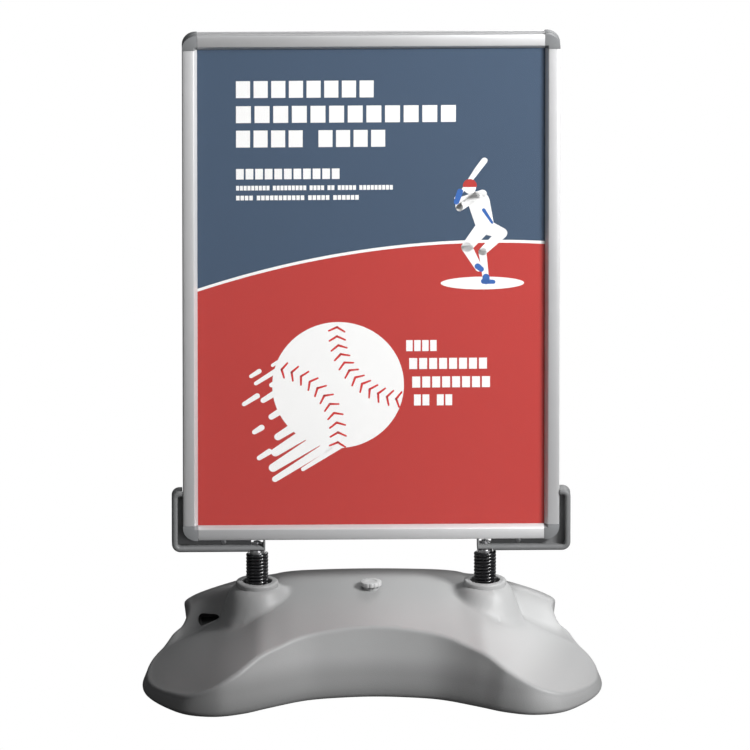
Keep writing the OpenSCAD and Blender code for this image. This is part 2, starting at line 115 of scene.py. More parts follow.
def face_outwards(piece: bpy.types.Object) -> None:
    """Merges the piece's doubles and turns all its faces outwards."""
    edit_all(piece)
    bpy.ops.mesh.remove_doubles(threshold=DOUBLES)
    bpy.ops.mesh.normals_make_consistent(inside=False)
    close_edit()


def finish_with(piece: bpy.types.Object, kind: str, **settings: object) -> None:
    """Adds one modifier to the piece and applies it.

    Args:
        piece: The piece to change.
        kind: The modifier's type, such as BEVEL.
        settings: The modifier's own settings.
    """
    solo(piece)
    modifier = piece.modifiers.new(kind.title(), kind)
    for key, value in settings.items():
        setattr(modifier, key, value)
    bpy.ops.object.modifier_apply(modifier=modifier.name)


def bevelled(piece: bpy.types.Object, width: float, segments: int = 2, angle: float = 30.0) -> None:
    """Rounds every edge that is sharper than an angle, in degrees, to a width in metres."""
    finish_with(
        piece, "BEVEL", width=width, segments=segments, limit_method="ANGLE", angle_limit=math.radians(angle)
    )


def smoothed(piece: bpy.types.Object, angle: float = 35.0) -> None:
    """Shades the piece smooth, with creases kept where faces meet more sharply than an angle."""
    solo(piece)
    bpy.ops.object.shade_smooth_by_angle(angle=math.radians(angle))


class Cut(Enum):
    """What a tool solid does to a piece."""

    UNION = "UNION"
    DIFFERENCE = "DIFFERENCE"
    INTERSECT = "INTERSECT"


def cut_with(piece: bpy.types.Object, tool: bpy.types.Object, how: Cut) -> None:
    """Joins or cuts a piece with a tool solid, which is used up."""
    finish_with(piece, "BOOLEAN", object=tool, operation=how.value, solver="EXACT")
    bpy.data.objects.remove(tool, do_unlink=True)


def joined(pieces: Sequence[bpy.types.Object], name: str) -> bpy.types.Object:
    """Joins several pieces into one.

    Args:
        pieces: The pieces, of which the first gives the object.
        name: The new piece's name.

    Returns:
        The joined piece.
    """
    solo(pieces[0])
    for piece in pieces[1:]:
        piece.select_set(True)
    bpy.ops.object.join()
    return named(pieces[0], name)


def turned_copy(piece: bpy.types.Object, name: str) -> bpy.types.Object:
    """A rear copy of a front piece with a mesh of its own, half a turn round the upright axis."""
    solo(piece)
    bpy.ops.object.duplicate()
    named(bpy.context.object, name)
    copy = place_applied()
    copy.data.transform(Matrix.Rotation(math.pi, 4, "Z"))
    return copy


def outline_piece(name: str, points: Sequence[Vector]) -> bpy.types.Object:
    """A single flat face with the given corners.

    Args:
        name: The piece's name.
        points: Its corners in order, in metres.

    Returns:
        The new piece.
    """
    clear_selection()
    bpy.ops.mesh.primitive_circle_add(
        vertices=len(points), radius=0.1, fill_type="NGON", location=(0, 0, 0)
    )
    piece = named(bpy.context.object, name)
    for vertex, point in zip(piece.data.vertices, points):
        vertex.co = point
    return piece


def prism(name: str, points: Sequence[Point2], length: float, place: Matrix) -> bpy.types.Object:
    """A closed prism of a flat outline.

    Args:
        name: The piece's name.
        points: The outline in its own plane, in metres.
        length: The prism's length, centred on the outline's plane.
        place: Where the outline's own X, Y and Z go.

    Returns:
        The new piece.
    """
    piece = outline_piece(name, [Vector((x, y, -length / 2)) for x, y in points])
    edit_all(piece)
    bpy.ops.mesh.extrude_region_move(TRANSFORM_OT_translate={"value": (0, 0, length)})
    close_edit()
    piece.data.transform(place)
    face_outwards(piece)
    return piece


def skinned(name: str, rings: Sequence[Sequence[Vector]]) -> bpy.types.Object:
    """A closed tube whose skin passes through closed rings of points.

    Args:
        name: The piece's name.
        rings: Rings with the same number of points each, in metres.

    Returns:
        The new piece.
    """
    around, along = len(rings[0]), len(rings)
    clear_selection()
    bpy.ops.mesh.primitive_grid_add(
        x_subdivisions=around, y_subdivisions=along - 1, size=2, location=(0, 0, 0)
    )
    piece = named(bpy.context.object, name)
    for vertex in piece.data.vertices:
        i = round((vertex.co.x + 1) / 2 * around) % around
        k = round((vertex.co.y + 1) / 2 * (along - 1))
        vertex.co = rings[k][i]
    edit_all(piece)
    bpy.ops.mesh.remove_doubles(threshold=DOUBLES)
    bpy.ops.mesh.fill_holes(sides=0)
    close_edit()
    face_outwards(piece)
    return piece


def lathed(
    name: str, profile: Sequence[Point2], steps: int, centre: Point2 = (0.0, 0.0)
) -> bpy.types.Object:
    """A solid of revolution about a vertical axis.

    Args:
        name: The piece's name.
        profile: Its closed outline as radius and height, in metres.
        steps: Facets round the axis.
        centre: Where the axis stands.

    Returns:
        The new piece.
    """
    cx, cy = centre
    clear_selection()
    bpy.ops.mesh.primitive_circle_add(
        vertices=len(profile), radius=0.1, fill_type="NOTHING", location=(0, 0, 0)
    )
    piece = named(bpy.context.object, name)
    for vertex, (r, z) in zip(piece.data.vertices, profile):
        vertex.co = (cx + r, cy, z)
    edit_all(piece)
    bpy.ops.mesh.spin(steps=steps, angle=math.tau, center=(cx, cy, 0), axis=(0, 0, 1))
    bpy.ops.mesh.select_all(action="SELECT")
    bpy.ops.mesh.remove_doubles(threshold=DOUBLES)
    bpy.ops.mesh.dissolve_degenerate(threshold=SLIVERS)
    bpy.ops.mesh.select_all(action="SELECT")
    bpy.ops.mesh.delete_loose()
    close_edit()
    face_outwards(piece)
    return piece


def disc(
    radius: float, low: float, high: float, centre: Point2 = (0.0, 0.0), sides: int = 96
) -> bpy.types.Object:
    """A plain upright cylinder for cutting with, between two heights."""
    clear_selection()
    bpy.ops.mesh.primitive_cylinder_add(
        vertices=sides, radius=radius, depth=high - low, location=(*centre, (low + high) / 2)
    )
    return place_applied()


def block(low: Sequence[float], high: Sequence[float]) -> bpy.types.Object:
    """A plain box for cutting or joining, from its lowest to its highest corner."""
    clear_selection()
    bpy.ops.mesh.primitive_cube_add(
        size=1, location=[(a + b) / 2 for a, b in zip(low, high)], scale=[b - a for a, b in zip(low, high)]
    )
    return place_applied()


def arc(centre: Point2, radius: float, start: float, end: float, steps: int) -> list[Point2]:
    """Points along an arc, with its angles in degrees."""
    points = []
    for k in range(steps + 1):
        a = math.radians(start + (end - start) * k / steps)
        points.append((centre[0] + radius * math.cos(a), centre[1] + radius * math.sin(a)))
    return points


# ---- shared effects and finishes ----


SOCKET_KINDS = {
    "Position": "NodeSocketVector", "Stretch": "NodeSocketVector",
    "Colour": "NodeSocketColor", "Dust": "NodeSocketColor",
    "Scale": "NodeSocketFloat", "Amount": "NodeSocketFloat",
    "Mask": "NodeSocketFloat", "Height": "NodeSocketFloat",
}
# Painted shade for the tank: for each axis, places in metres and how far the colour is darkened there. It is
# darker to the left, the rear and the foot, where less light falls.
PAINTED_SHADE_STOPS = {
    "X": ((-0.39, 0.42), (-0.30, 0.5), (-0.12, 0.66), (0.08, 0.84), (0.3, 1.0)),
    "Y": ((0.02, 1.0), (0.1, 0.82), (0.2, 0.62)),
    "Z": ((0.0, 0.5), (0.035, 0.7), (0.075, 1.0)),
}
DUST = (0.42, 0.41, 0.39)
DUST_LIES_FROM = 0.55
COAT_ROUGHNESS = 0.12
WHITE = (1.0, 1.0, 1.0, 1.0)

Given = dict[str, bpy.types.NodeSocket]
Wiring = Callable[[bpy.types.NodeTree, Given], Given]


def add_node(
    tree: bpy.types.NodeTree, kind: str, feeds: dict[int | str, object] | None = None, **settings: object
) -> bpy.types.Node:
    """Adds one shader node with its settings and its inputs.

    Args:
        tree: The tree that it is added to.
        kind: Its type, without the usual ShaderNode in front.
        feeds: What each named or numbered input gets: an output socket or a plain value.
        settings: The node's own settings, which are made before its inputs.

    Returns:
        The new node.
    """
    node = tree.nodes.new(f"ShaderNode{kind}")
    for key, value in settings.items():
        setattr(node, key, value)
    for key, value in (feeds or {}).items():
        if isinstance(value, bpy.types.NodeSocket):
            tree.links.new(value, node.inputs[key])
        else:
            node.inputs[key].default_value = value
    return node


class Effects:
    """Shader node groups that several finishes share, each built once."""

    def __init__(self) -> None:
        """Starts with no group built."""
        self._built: dict[str, bpy.types.NodeTree] = {}

    def _group(
        self, name: str, inputs: Sequence[str], outputs: Sequence[str], wire: Wiring
    ) -> bpy.types.NodeTree:
        """A group with named sockets, built the first time it is asked for.

        Args:
            name: The group's name.
            inputs: Its inputs, whose kinds SOCKET_KINDS gives.
            outputs: Its outputs.
            wire: Adds the nodes, and says what each output puts out.

        Returns:
            The group.
        """
        if name not in self._built:
            tree = bpy.data.node_groups.new(name, "ShaderNodeTree")
            for in_out, keys in (("INPUT", inputs), ("OUTPUT", outputs)):
                for key in keys:
                    tree.interface.new_socket(name=key, in_out=in_out, socket_type=SOCKET_KINDS[key])
            inside, outside = tree.nodes.new("NodeGroupInput"), tree.nodes.new("NodeGroupOutput")
            for key, socket in wire(tree, inside.outputs).items():
                tree.links.new(socket, outside.inputs[key])
            self._built[name] = tree
        return self._built[name]

    def mottle(self) -> bpy.types.NodeTree:
        """Cloudy shade changes that a moulded, rolled or printed surface has."""

        def wire(tree: bpy.types.NodeTree, given: Given) -> Given:
            """Lightens and darkens the colour by a noise about its middle."""
            noise = add_node(tree, "TexNoise", {
                "Vector": given["Position"], "Scale": given["Scale"], "Detail": 5.0, "Roughness": 0.6,
            })
            centred = add_node(tree, "Math", {0: noise.outputs["Fac"], 1: 0.5}, operation="SUBTRACT")
            swing = add_node(
                tree, "Math", {0: centred.outputs[0], 1: given["Amount"], 2: 1.0}, operation="MULTIPLY_ADD"
            )
            shade = add_node(
                tree, "VectorMath", {0: given["Colour"], "Scale": swing.outputs[0]}, operation="SCALE"
            )
            return {"Colour": shade.outputs["Vector"], "Mask": noise.outputs["Fac"]}

        return self._group("Mottle", ("Position", "Colour", "Scale", "Amount"), ("Colour", "Mask"), wire)

    def grain(self) -> bpy.types.NodeTree:
        """Fine relief, drawn out along a direction by stretching the position that it reads."""

        def wire(tree: bpy.types.NodeTree, given: Given) -> Given:
            """Puts out a fine noise of the stretched position."""
            drawn = add_node(
                tree, "VectorMath", {0: given["Position"], 1: given["Stretch"]}, operation="MULTIPLY"
            )
            noise = add_node(tree, "TexNoise", {
                "Vector": drawn.outputs["Vector"], "Scale": given["Scale"], "Detail": 3.0,
            })
            return {"Height": noise.outputs["Fac"]}

        return self._group("Grain", ("Position", "Stretch", "Scale"), ("Height",), wire)

    def settled(self) -> bpy.types.NodeTree:
        """Dust that lies in patches on upward faces."""

        def wire(tree: bpy.types.NodeTree, given: Given) -> Given:
            """Mixes the dust in by how far a face points up and by a noise."""
            normal = add_node(tree, "NewGeometry").outputs["Normal"]
            height = add_node(tree, "SeparateXYZ", {0: normal}).outputs["Z"]
            upward = add_node(tree, "MapRange", {"Value": height, "From Min": DUST_LIES_FROM})
            noise = add_node(tree, "TexNoise", {"Vector": given["Position"], "Scale": 38.0, "Detail": 6.0})
            patchy = add_node(
                tree, "Math", {0: upward.outputs["Result"], 1: noise.outputs["Fac"]}, operation="MULTIPLY"
            )
            amount = add_node(
                tree, "Math", {0: patchy.outputs[0], 1: given["Amount"]}, operation="MULTIPLY"
            )
            mix = add_node(tree, "Mix", {
                "Factor": amount.outputs[0], "A": given["Colour"], "B": given["Dust"],
            }, data_type="RGBA")
            return {"Colour": mix.outputs["Result"], "Mask": amount.outputs[0]}

        inputs = ("Position", "Colour", "Dust", "Amount")
        return self._group("Settled dust", inputs, ("Colour", "Mask"), wire)

    def weathered(self) -> bpy.types.NodeTree:
        """Painted shade: darkens the tank's colour by place, towards its left, its rear and its foot, as the
        painted shade stops say.
        """

        def wire(tree: bpy.types.NodeTree, given: Given) -> Given:
            """Multiplies the colour by one shade ramp along each axis."""
            split = add_node(tree, "SeparateXYZ", {0: given["Position"]})
            colour = given["Colour"]
            for axis, stops in PAINTED_SHADE_STOPS.items():
                first, last = stops[0][0], stops[-1][0]
                spread = add_node(tree, "MapRange", {
                    "Value": split.outputs[axis], "From Min": first, "From Max": last,
                })
                shade = add_node(tree, "ValToRGB", {"Fac": spread.outputs["Result"]})
                points = shade.color_ramp.elements
                while len(points) < len(stops):
                    points.new(0.5)
                for point, (place, value) in zip(points, stops):
                    point.position = (place - first) / (last - first)
                    point.color = (value, value, value, 1.0)
                shade.color_ramp.interpolation = "EASE"
                darken = add_node(tree, "Mix", {
                    "Factor": 1.0, "A": colour, "B": shade.outputs["Color"],
                }, data_type="RGBA", blend_type="MULTIPLY")
                colour = darken.outputs["Result"]
            return {"Colour": colour}

        return self._group("Weathered", ("Position", "Colour"), ("Colour",), wire)


EFFECTS = Effects()


@dataclass(frozen=True)
class Finish:
    """One material: what it is made of and how its surface varies.

    Attributes:
        name: The material's name.
        slot: The record's material slot; not used by this script.
        colour: Base colour, linear.
        roughness: Middle roughness.
        metallic: 1 for bare metal.
        sway: How far the roughness varies.
        mottle: How far the shade varies.
        mottle_scale: Cloud size of that variation, in cycles a metre.
        grain: Depth of the fine relief, in metres.
        grain_scale: Its fineness, in cycles a metre.
        stretch: Multiplies the position per axis, so a small number draws the grain out.
        dust: How much dust settles on upward faces.
        coat: Weight of a clear coat.
        specular: Strength of the plain reflection.
        alpha: Below 1 for a see-through sheet.
        painted_shade: Whether shade is painted into its colour by place, as on the tank.
    """

    name: str
    slot: str
    colour: Colour
    roughness: float
    metallic: float = 0.0
    sway: float = 0.08
    mottle: float = 0.08
    mottle_scale: float = 9.0
    grain: float = 0.00004
    grain_scale: float = 900.0
    stretch: tuple[float, float, float] = (1.0, 1.0, 1.0)
    dust: float = 0.0
    coat: float = 0.0
    specular: float = 0.5
    alpha: float = 1.0
    painted_shade: bool = False

    def material(self) -> bpy.types.Material:
        """The finish as a material, built the first time it is asked for."""
        known = bpy.data.materials.get(self.name)
        if known:
            return known
        material = bpy.data.materials.new(self.name)
        material.use_nodes = True
        tree = material.node_tree
        shader = tree.nodes["Principled BSDF"]
        for key, value in (
            ("Metallic", self.metallic), ("Coat Weight", self.coat), ("Coat Roughness", COAT_ROUGHNESS),
            ("Specular IOR Level", self.specular), ("Alpha", self.alpha),
        ):
            shader.inputs[key].default_value = value
        place = add_node(tree, "TexCoord").outputs["Object"]
        mottle = add_node(tree, "Group", {
            "Position": place, "Colour": (*self.colour, 1.0), "Scale": self.mottle_scale, "Amount": self.mottle,
        }, node_tree=EFFECTS.mottle())
        colour = mottle.outputs["Colour"]
        if self.dust > 0:
            colour = add_node(tree, "Group", {
                "Position": place, "Colour": colour, "Dust": (*DUST, 1.0), "Amount": self.dust,
            }, node_tree=EFFECTS.settled()).outputs["Colour"]
        # Painted shade: the colour is darkened by place, where less light falls on the tank.
        if self.painted_shade:
            painted_shade = {"Position": place, "Colour": colour}
            colour = add_node(tree, "Group", painted_shade, node_tree=EFFECTS.weathered()).outputs["Colour"]
        rough = add_node(tree, "MapRange", {
            "Value": mottle.outputs["Mask"],
            "To Min": max(0.02, self.roughness - self.sway), "To Max": min(1.0, self.roughness + self.sway),
        })
        grain = add_node(tree, "Group", {
            "Position": place, "Stretch": self.stretch, "Scale": self.grain_scale,
        }, node_tree=EFFECTS.grain())
        bump = add_node(tree, "Bump", {"Height": grain.outputs["Height"], "Distance": self.grain})
        tree.links.new(colour, shader.inputs["Base Color"])
        tree.links.new(rough.outputs["Result"], shader.inputs["Roughness"])
        tree.links.new(bump.outputs["Normal"], shader.inputs["Normal"])
        return material

    def dress(self, piece: bpy.types.Object) -> None:
        """Gives a whole new piece this finish."""
        piece.data.materials.clear()
        piece.data.materials.append(self.material())

    def dress_node(self, name: str) -> None:
        """Gives a CAD node this finish on each of its material slots."""
        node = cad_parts[name]
        for slot in node.material_slots:
            slot.material = self.material()


# The tank's colour carries painted shade by place: darker to the left, the rear and the foot.
TANK = Finish(
    "tank_polyethylene", "tank_plastic", (0.37, 0.372, 0.372), 0.46, sway=0.08, mottle=0.10,
    mottle_scale=7.0, grain=0.00018, grain_scale=650.0, dust=0.05, specular=0.3, painted_shade=True,
)
BRACKET = Finish(
    "bracket_powder_coat", "bracket_paint", (0.155, 0.158, 0.16), 0.5, specular=0.35, mottle_scale=30.0,
    grain=0.00006, grain_scale=1500.0, dust=0.06,
)
SPRING = Finish(
    "spring_black_coat", "spring_black", (0.006, 0.006, 0.007), 0.2, specular=0.35, sway=0.06,
    mottle_scale=60.0, grain=0.00003, coat=0.5,
)
PLUG = Finish(
    "plug_turned_steel", "plug_metal", (0.74, 0.74, 0.75), 0.3, metallic=1.0, mottle_scale=120.0,
    stretch=(0.1, 0.1, 1.0),
)
BOLT = Finish(
    "bolt_zinc_plate", "bolt_steel", (0.42, 0.42, 0.43), 0.38, metallic=1.0, mottle=0.14, mottle_scale=220.0
)
ANCHOR = Finish(
    "anchor_zinc_plate", "anchor_steel", (0.5, 0.5, 0.52), 0.38, metallic=1.0, mottle_scale=120.0
)
BRASS = Finish(
    "insert_turned_brass", "insert_brass", (0.72, 0.55, 0.28), 0.35, metallic=1.0, mottle_scale=150.0
)
SEAL = Finish("seal_rubber_black", "seal_rubber", (0.02, 0.02, 0.02), 0.7, mottle_scale=150.0)
CAP = Finish("cap_satin_plastic", "cap_plastic", (0.44, 0.44, 0.44), 0.4, mottle_scale=90.0, dust=0.10)
CORNER = Finish(
    "corner_satin_plastic", "corner_plastic", (0.2, 0.205, 0.21), 0.5, specular=0.3, mottle_scale=60.0,
    grain_scale=1800.0,
)
PANEL = Finish("panel_sheet", "panel_board", (0.78, 0.78, 0.76), 0.55, mottle_scale=14.0)
CLIP = Finish("clip_spring_steel", "clip_steel", (0.5, 0.5, 0.51), 0.32, metallic=1.0, mottle_scale=140.0)
RIVET = Finish(
    "rivet_aluminium", "rivet_aluminium", (0.68, 0.68, 0.69), 0.38, metallic=1.0, mottle_scale=180.0
)
COVER = Finish(
    "cover_clear_sheet", "cover_clear", (0.92, 0.94, 0.96), 0.35, sway=0.03, mottle=0.02, grain=0.00001,
    grain_scale=500.0, specular=0.3, alpha=0.02,
)
ALONG_X = (0.012, 1.0, 1.0)
ALONG_Z = (1.0, 1.0, 0.012)


def aluminium(part: str, stretch: tuple[float, float, float]) -> Finish:
    """The anodised finish of a rail or lid, with its fine lines drawn along the piece.

    Args:
        part: "rail" or "lid", which is also the start of its record slot.
        stretch: Which way the lines run.

    Returns:
        The finish.
    """
    run = "across" if stretch == ALONG_X else "upright"
    shade = 0.62 if part == "lid" else 0.5
    return Finish(
        f"{part}_anodised_{run}", f"{part}_aluminium", (shade, shade, shade * 1.01), 0.46, metallic=0.45,
        sway=0.05, mottle=0.05, mottle_scale=40.0, grain=0.00005, grain_scale=2200.0, stretch=stretch,
    )


def ink(name: str, colour: Colour) -> Finish:
    """A printed colour on satin paper."""
    return Finish(
        f"print_{name}", "poster_paper", colour, 0.5, sway=0.04, mottle=0.05, mottle_scale=60.0,
        grain=0.00001, grain_scale=3000.0, specular=0.12,
    )


# ---- base ----


def ease(a: float, b: float, x: float) -> float:
    """Smooth step from 0 at a to 1 at b."""
    t = max(0.0, min(1.0, (x - a) / (b - a)))
    return t * t * (3 - 2 * t)


def mixed(a: float, b: float, t: float) -> float:
    """The value a share t of the way from a to b."""
    return a + (b - a) * t


def ramp(d: float, r: float) -> float:
    """A ramp that starts at 0 and turns over the width r."""
    return (d + math.sqrt(d * d + r * r)) / 2


def higher(a: float, b: float, k: float) -> float:
    """The higher of two heights, rounded over k where they meet."""
    h = max(k - abs(a - b), 0) / k
    return max(a, b) + h * h * k / 4


def along(knots: Sequence[Point2], x: float) -> float:
    """Height at x of a smooth curve through knots, level at its first one."""
    x = min(x, knots[-1][0])
    i = max(j for j in range(len(knots) - 1) if x >= knots[j][0])

    def slope(j: int) -> float:
        """Slope of the curve at knot j."""
        if j == 0:
            return 0.0
        a, b = knots[j - 1], knots[min(j + 1, len(knots) - 1)]
        return (b[1] - a[1]) / (b[0] - a[0])

    (xa, za), (xb, zb) = knots[i], knots[i + 1]
    h = xb - xa
    t = (x - xa) / h
    t2, t3 = t * t, t * t * t
    return ((2 * t3 - 3 * t2 + 1) * za + (t3 - 2 * t2 + t) * h * slope(i)
            + (3 * t2 - 2 * t3) * zb + (t3 - t2) * h * slope(i + 1))


@dataclass
class BallastTank:
    """The moulded tank, with its two spring bosses, its filler neck and its finger grip.

    Its fields and formulas are in millimetres, and its meshes come out in metres. An outline's
    third number is how far the wall leans inwards on its way up.
    """

    outline: tuple[tuple[float, float, float], ...] = (
        (0, -151, 26), (60, -157, 25), (114, -172, 23), (174, -211, 18), (215, -240, 13), (263, -256, 10),
        (313, -242, 8), (350, -195, 8), (373, -145, 7), (381, -98, 6), (377, -45, 6), (362, 0, 6),
        (336, 32, 6), (309, 45, 3), (299, 60, -6), (299, 100, -10), (299, 150, -6), (289, 205, 6),
        (254, 243, 14), (205, 256, 20), (110, 236, 22), (0, 218, 22),
    )
    slope_z: tuple[Point2, ...] = (
        (0, 146), (100, 143.5), (150, 139), (185, 127), (204, 113), (240, 93), (277, 71), (310, 54),
        (345, 38), (381, 23),
    )
    slope_g: tuple[Point2, ...] = (
        (0, 0.24), (150, 0.243), (185, 0.19), (204, 0.152), (240, 0.132), (300, 0.1), (381, 0.06),
    )
    crest_z: tuple[Point2, ...] = (
        (0, 148), (100, 146.5), (130, 144.5), (165, 139.5), (200, 133), (240, 121.5), (280, 107.5), (298, 98.5),
        (312, 88),
    )
    crest_y: float = 60.0
    wing_y: float = 48.0
    spine_y: float = 20.0
    spine_end: float = 170.0
    spring_x: float = 189.0
    steps: int = 8
    walls: int = 9
    shoulders: int = 6
    tops: int = 34
    shoulder_r: float = 8.0
    skirt_r: float = 36.0
    skirt_z: float = 149.5
    foot: tuple[Point2, ...] = ((0, 5), (0.35, 3), (1.5, 1.6), (3.5, 0.5))
    wall_z: float = 6.0
    full_height: float = 34.0
    boss_r: float = 35.5
    boss_low: float = 100.0
    boss_top: float = 157.0
    boss_round: float = 4.0
    socket_r: float = 23.5
    socket_low: float = 118.0
    socket_flare: float = 3.0
    socket_over: float = 170.0
    pad_r: float = 20.5
    pad_z: float = 147.0
    neck_r: float = 13.0
    neck_z: float = 151.5
    bore_r: float = 10.5
    grip_x: Point2 = (-258.5, -277.5)
    grip_y: float = 44.0
    grip_z: float = 81.0
    grip_r: float = 9.5
    grip_deep: float = 52.0

    def front_z(self, x: float, y: float) -> float:
        """Height of the front slope above a point."""
        outer = ease(150, 200, x)
        edge = mixed(self.crest_y, -10, outer) + 55 * ease(200, 300, x)
        steep = along(self.slope_g, x)
        back = mixed(0.35, 0.8, outer)
        return along(self.slope_z, x) + steep * y - (steep + back) * ramp(y - edge, mixed(38, 12, outer))

    def rear_z(self, x: float, y: float) -> float:
        """Height of the rear body above a point."""
        outer = ease(160, 225, x)
        steep = mixed(0.32, 1.6, outer)
        fall, r = 0.32, mixed(30, 16, outer)
        d = y - mixed(self.crest_y, self.wing_y, outer)
        return along(self.crest_z, x) + steep * d + (steep + fall) * (r / 2 - ramp(d, r))

    def top_z(self, x: float, y: float) -> float:
        """Height of the whole top above a point."""
        out = max(0.0, math.hypot(abs(x) - self.spring_x, y) - self.skirt_r)
        skirt = self.skirt_z - 0.4 * out - 0.075 * out * out
        return higher(higher(self.front_z(abs(x), y), self.rear_z(abs(x), y), 10), skirt, 7)

    def loop(self) -> list[tuple[float, float, float]]:
        """The closed outline in steps between its knots: x, y and how far the wall leans in."""
        half = list(self.outline)
        knots = half + [(-x, y, lean) for x, y, lean in reversed(half[1:-1])]
        n = len(knots)
        raw = []
        for i in range(n):
            p, q, r, s = (knots[(i + k) % n] for k in (-1, 0, 1, 2))
            for j in range(self.steps):
                t = j / self.steps
                raw.append(tuple(
                    0.5 * (2 * q[c] + (r[c] - p[c]) * t + (2 * p[c] - 5 * q[c] + 4 * r[c] - s[c]) * t * t
                           + (3 * q[c] - p[c] - 3 * r[c] + s[c]) * t * t * t)
                    for c in range(3)
                ))
        low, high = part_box("base_tank")
        width, depth = (high[0] - low[0]) / MM, (high[1] - low[1]) / MM
        x_most = max(p[0] for p in raw)
        y_least, y_most = min(p[1] for p in raw), max(p[1] for p in raw)
        return [
            (p[0] * width / 2 / x_most, (p[1] - (y_least + y_most) / 2) * depth / (y_most - y_least), p[2])
            for p in raw
        ]

    def rings(self) -> list[list[Vector]]:
        """Rings of points from the foot up to the spine of the top."""
        loop = self.loop()
        n = len(loop)
        rim = []
        for i, (x, y, lean) in enumerate(loop):
            a, b = loop[i - 1], loop[(i + 1) % n]
            d = Vector((b[0] - a[0], b[1] - a[1])).normalized()
            inward = Vector((-d.y, d.x))
            foot = Vector((x, y))
            edge = foot + inward * (lean + self.shoulder_r)
            z = self.top_z(edge.x, edge.y)
            turn = (i % (n // 2)) / (n // 2)
            side = 1 if i <= n // 2 else -1
            spine = Vector((side * self.spine_end * (1 - abs(1 - 2 * turn)), self.spine_y))
            rim.append((foot, inward, lean, z, min(1.0, z / self.full_height), spine, edge))
        rings = []
        for z, inset in self.foot:
            rings.append([
                self._at(foot + inward * inset * share, z * share)
                for foot, inward, _, _, share, _, _ in rim
            ])
        for k in range(self.walls + 1):
            f = k / (self.walls + 1)
            rings.append([
                self._at(foot + inward * lean * f,
                         mixed(self.wall_z * share, top - self.shoulder_r * share, f))
                for foot, inward, lean, top, share, _, _ in rim
            ])
        for k in range(self.shoulders + 1):
            a = math.pi / 2 * k / self.shoulders
            rings.append([
                self._at(foot + inward * (lean + self.shoulder_r * (1 - math.cos(a))),
                         top - self.shoulder_r * share * (1 - math.sin(a)))
                for foot, inward, lean, top, share, _, _ in rim
            ])
        for k in range(1, self.tops + 1):
            points = [edge.lerp(spine, k / self.tops) for *_, spine, edge in rim]
            rings.append([self._at(p, self.top_z(p.x, p.y)) for p in points])
        return rings

    @staticmethod
    def _at(point: Vector, z: float) -> Vector:
        """A point in metres from a plan place and a height in millimetres."""
        return Vector((point.x, point.y, z)) * MM

    def turned(self, name: str, profile: Sequence[Point2], side: int) -> bpy.types.Object:
        """A solid of revolution on the axis of the spring on one side."""
        outline = [(r * MM, z * MM) for r, z in profile]
        return lathed(name, outline, 96, (side * self.spring_x * MM, 0))

    def boss(self, side: int) -> bpy.types.Object:
        """One spring boss as a plug with a rounded outer edge, without its socket."""
        r, low, top, rounding = self.boss_r, self.boss_low, self.boss_top, self.boss_round
        edge = arc((r - rounding, top - rounding), rounding, 0, 90, 8)
        return self.turned("boss", [(0, low), (r, low)] + edge + [(0, top)], side)

    def socket(self, side: int) -> bpy.types.Object:
        """What is cut out of a boss: a round hole with a flared mouth."""
        r, low, flare, over = self.socket_r, self.socket_low, self.socket_flare, self.socket_over
        mouth = arc((r + flare, self.boss_top - flare), flare, 180, 90, 8)
        return self.turned("socket", [(0, low), (r, low)] + mouth + [(r + flare, over), (0, over)], side)

    def grip_tool(self) -> bpy.types.Object:
        """The slot with round ends that the finger grip is cut with."""
        right, left = self.grip_x
        points = arc((right, self.grip_z), self.grip_r, -90, 90, 12)
        points += arc((left, self.grip_z), self.grip_r, 90, 270, 12)
        place = Matrix.Translation((0, self.grip_y * MM, 0)) @ UPRIGHT
        return prism("grip", [(x * MM, z * MM) for x, z in points], self.grip_deep * MM, place)

    def build(self) -> None:
        """Builds the tank and dresses it."""
        tank = skinned("tank_shell", self.rings())
        finish_with(tank, "SMOOTH", factor=0.5, iterations=3)
        for side in (-1, 1):
            cut_with(tank, self.boss(side), Cut.UNION)
        for side in (-1, 1):
            cut_with(tank, self.socket(side), Cut.DIFFERENCE)
        for radius, low, high, how in (
            (self.pad_r, self.pad_z, 180, Cut.DIFFERENCE),
            (self.neck_r, 120, self.neck_z, Cut.UNION),
            (self.bore_r, 100, 180, Cut.DIFFERENCE),
        ):
            cut_with(tank, disc(radius * MM, low * MM, high * MM), how)
        cut_with(tank, self.grip_tool(), Cut.DIFFERENCE)
        smoothed(tank, 32)
        TANK.dress(tank)
        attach(tank, "root")
        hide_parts("base_tank")
        log.info("tank_shell, %d faces", len(tank.data.polygons))


@dataclass
class FillerCap:
    """The fluted screw cap over the tank's neck."""

    radius: float = 0.0175
    flutes: int = 14
    flute_depth: float = 0.0013
    points_a_flute: int = 10
    recess_r: float = 0.0095
    recess_deep: float = 0.0007
    bore_r: float = 0.01305
    bore_deep: float = 0.0055
    edge: float = 0.0009

    def build(self) -> None:
        """Builds the cap and dresses it."""
        low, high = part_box("filler_cap")
        count = self.flutes * self.points_a_flute
        rim = []
        for k in range(count):
            a = math.tau * k / count
            dip = max(0.0, math.cos(a * self.flutes)) ** 2
            r = self.radius - self.flute_depth * dip
            rim.append((r * math.cos(a), r * math.sin(a)))
        height = high[2] - low[2]
        cap = prism("screw_cap", rim, height, Matrix.Translation((0, 0, low[2] + height / 2)))
        bevelled(cap, self.edge, 3, 60)
        for radius, start, end in (
            (self.recess_r, high[2] - self.recess_deep, high[2] + CUT_SLACK),
            (self.bore_r, low[2] - CUT_SLACK, low[2] + self.bore_deep),
        ):
            cut_with(cap, disc(radius, start, end, sides=72), Cut.DIFFERENCE)
        smoothed(cap, 40)
        CAP.dress(cap)
        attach(cap, "cap")
        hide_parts("filler_cap")
        log.info("screw_cap")


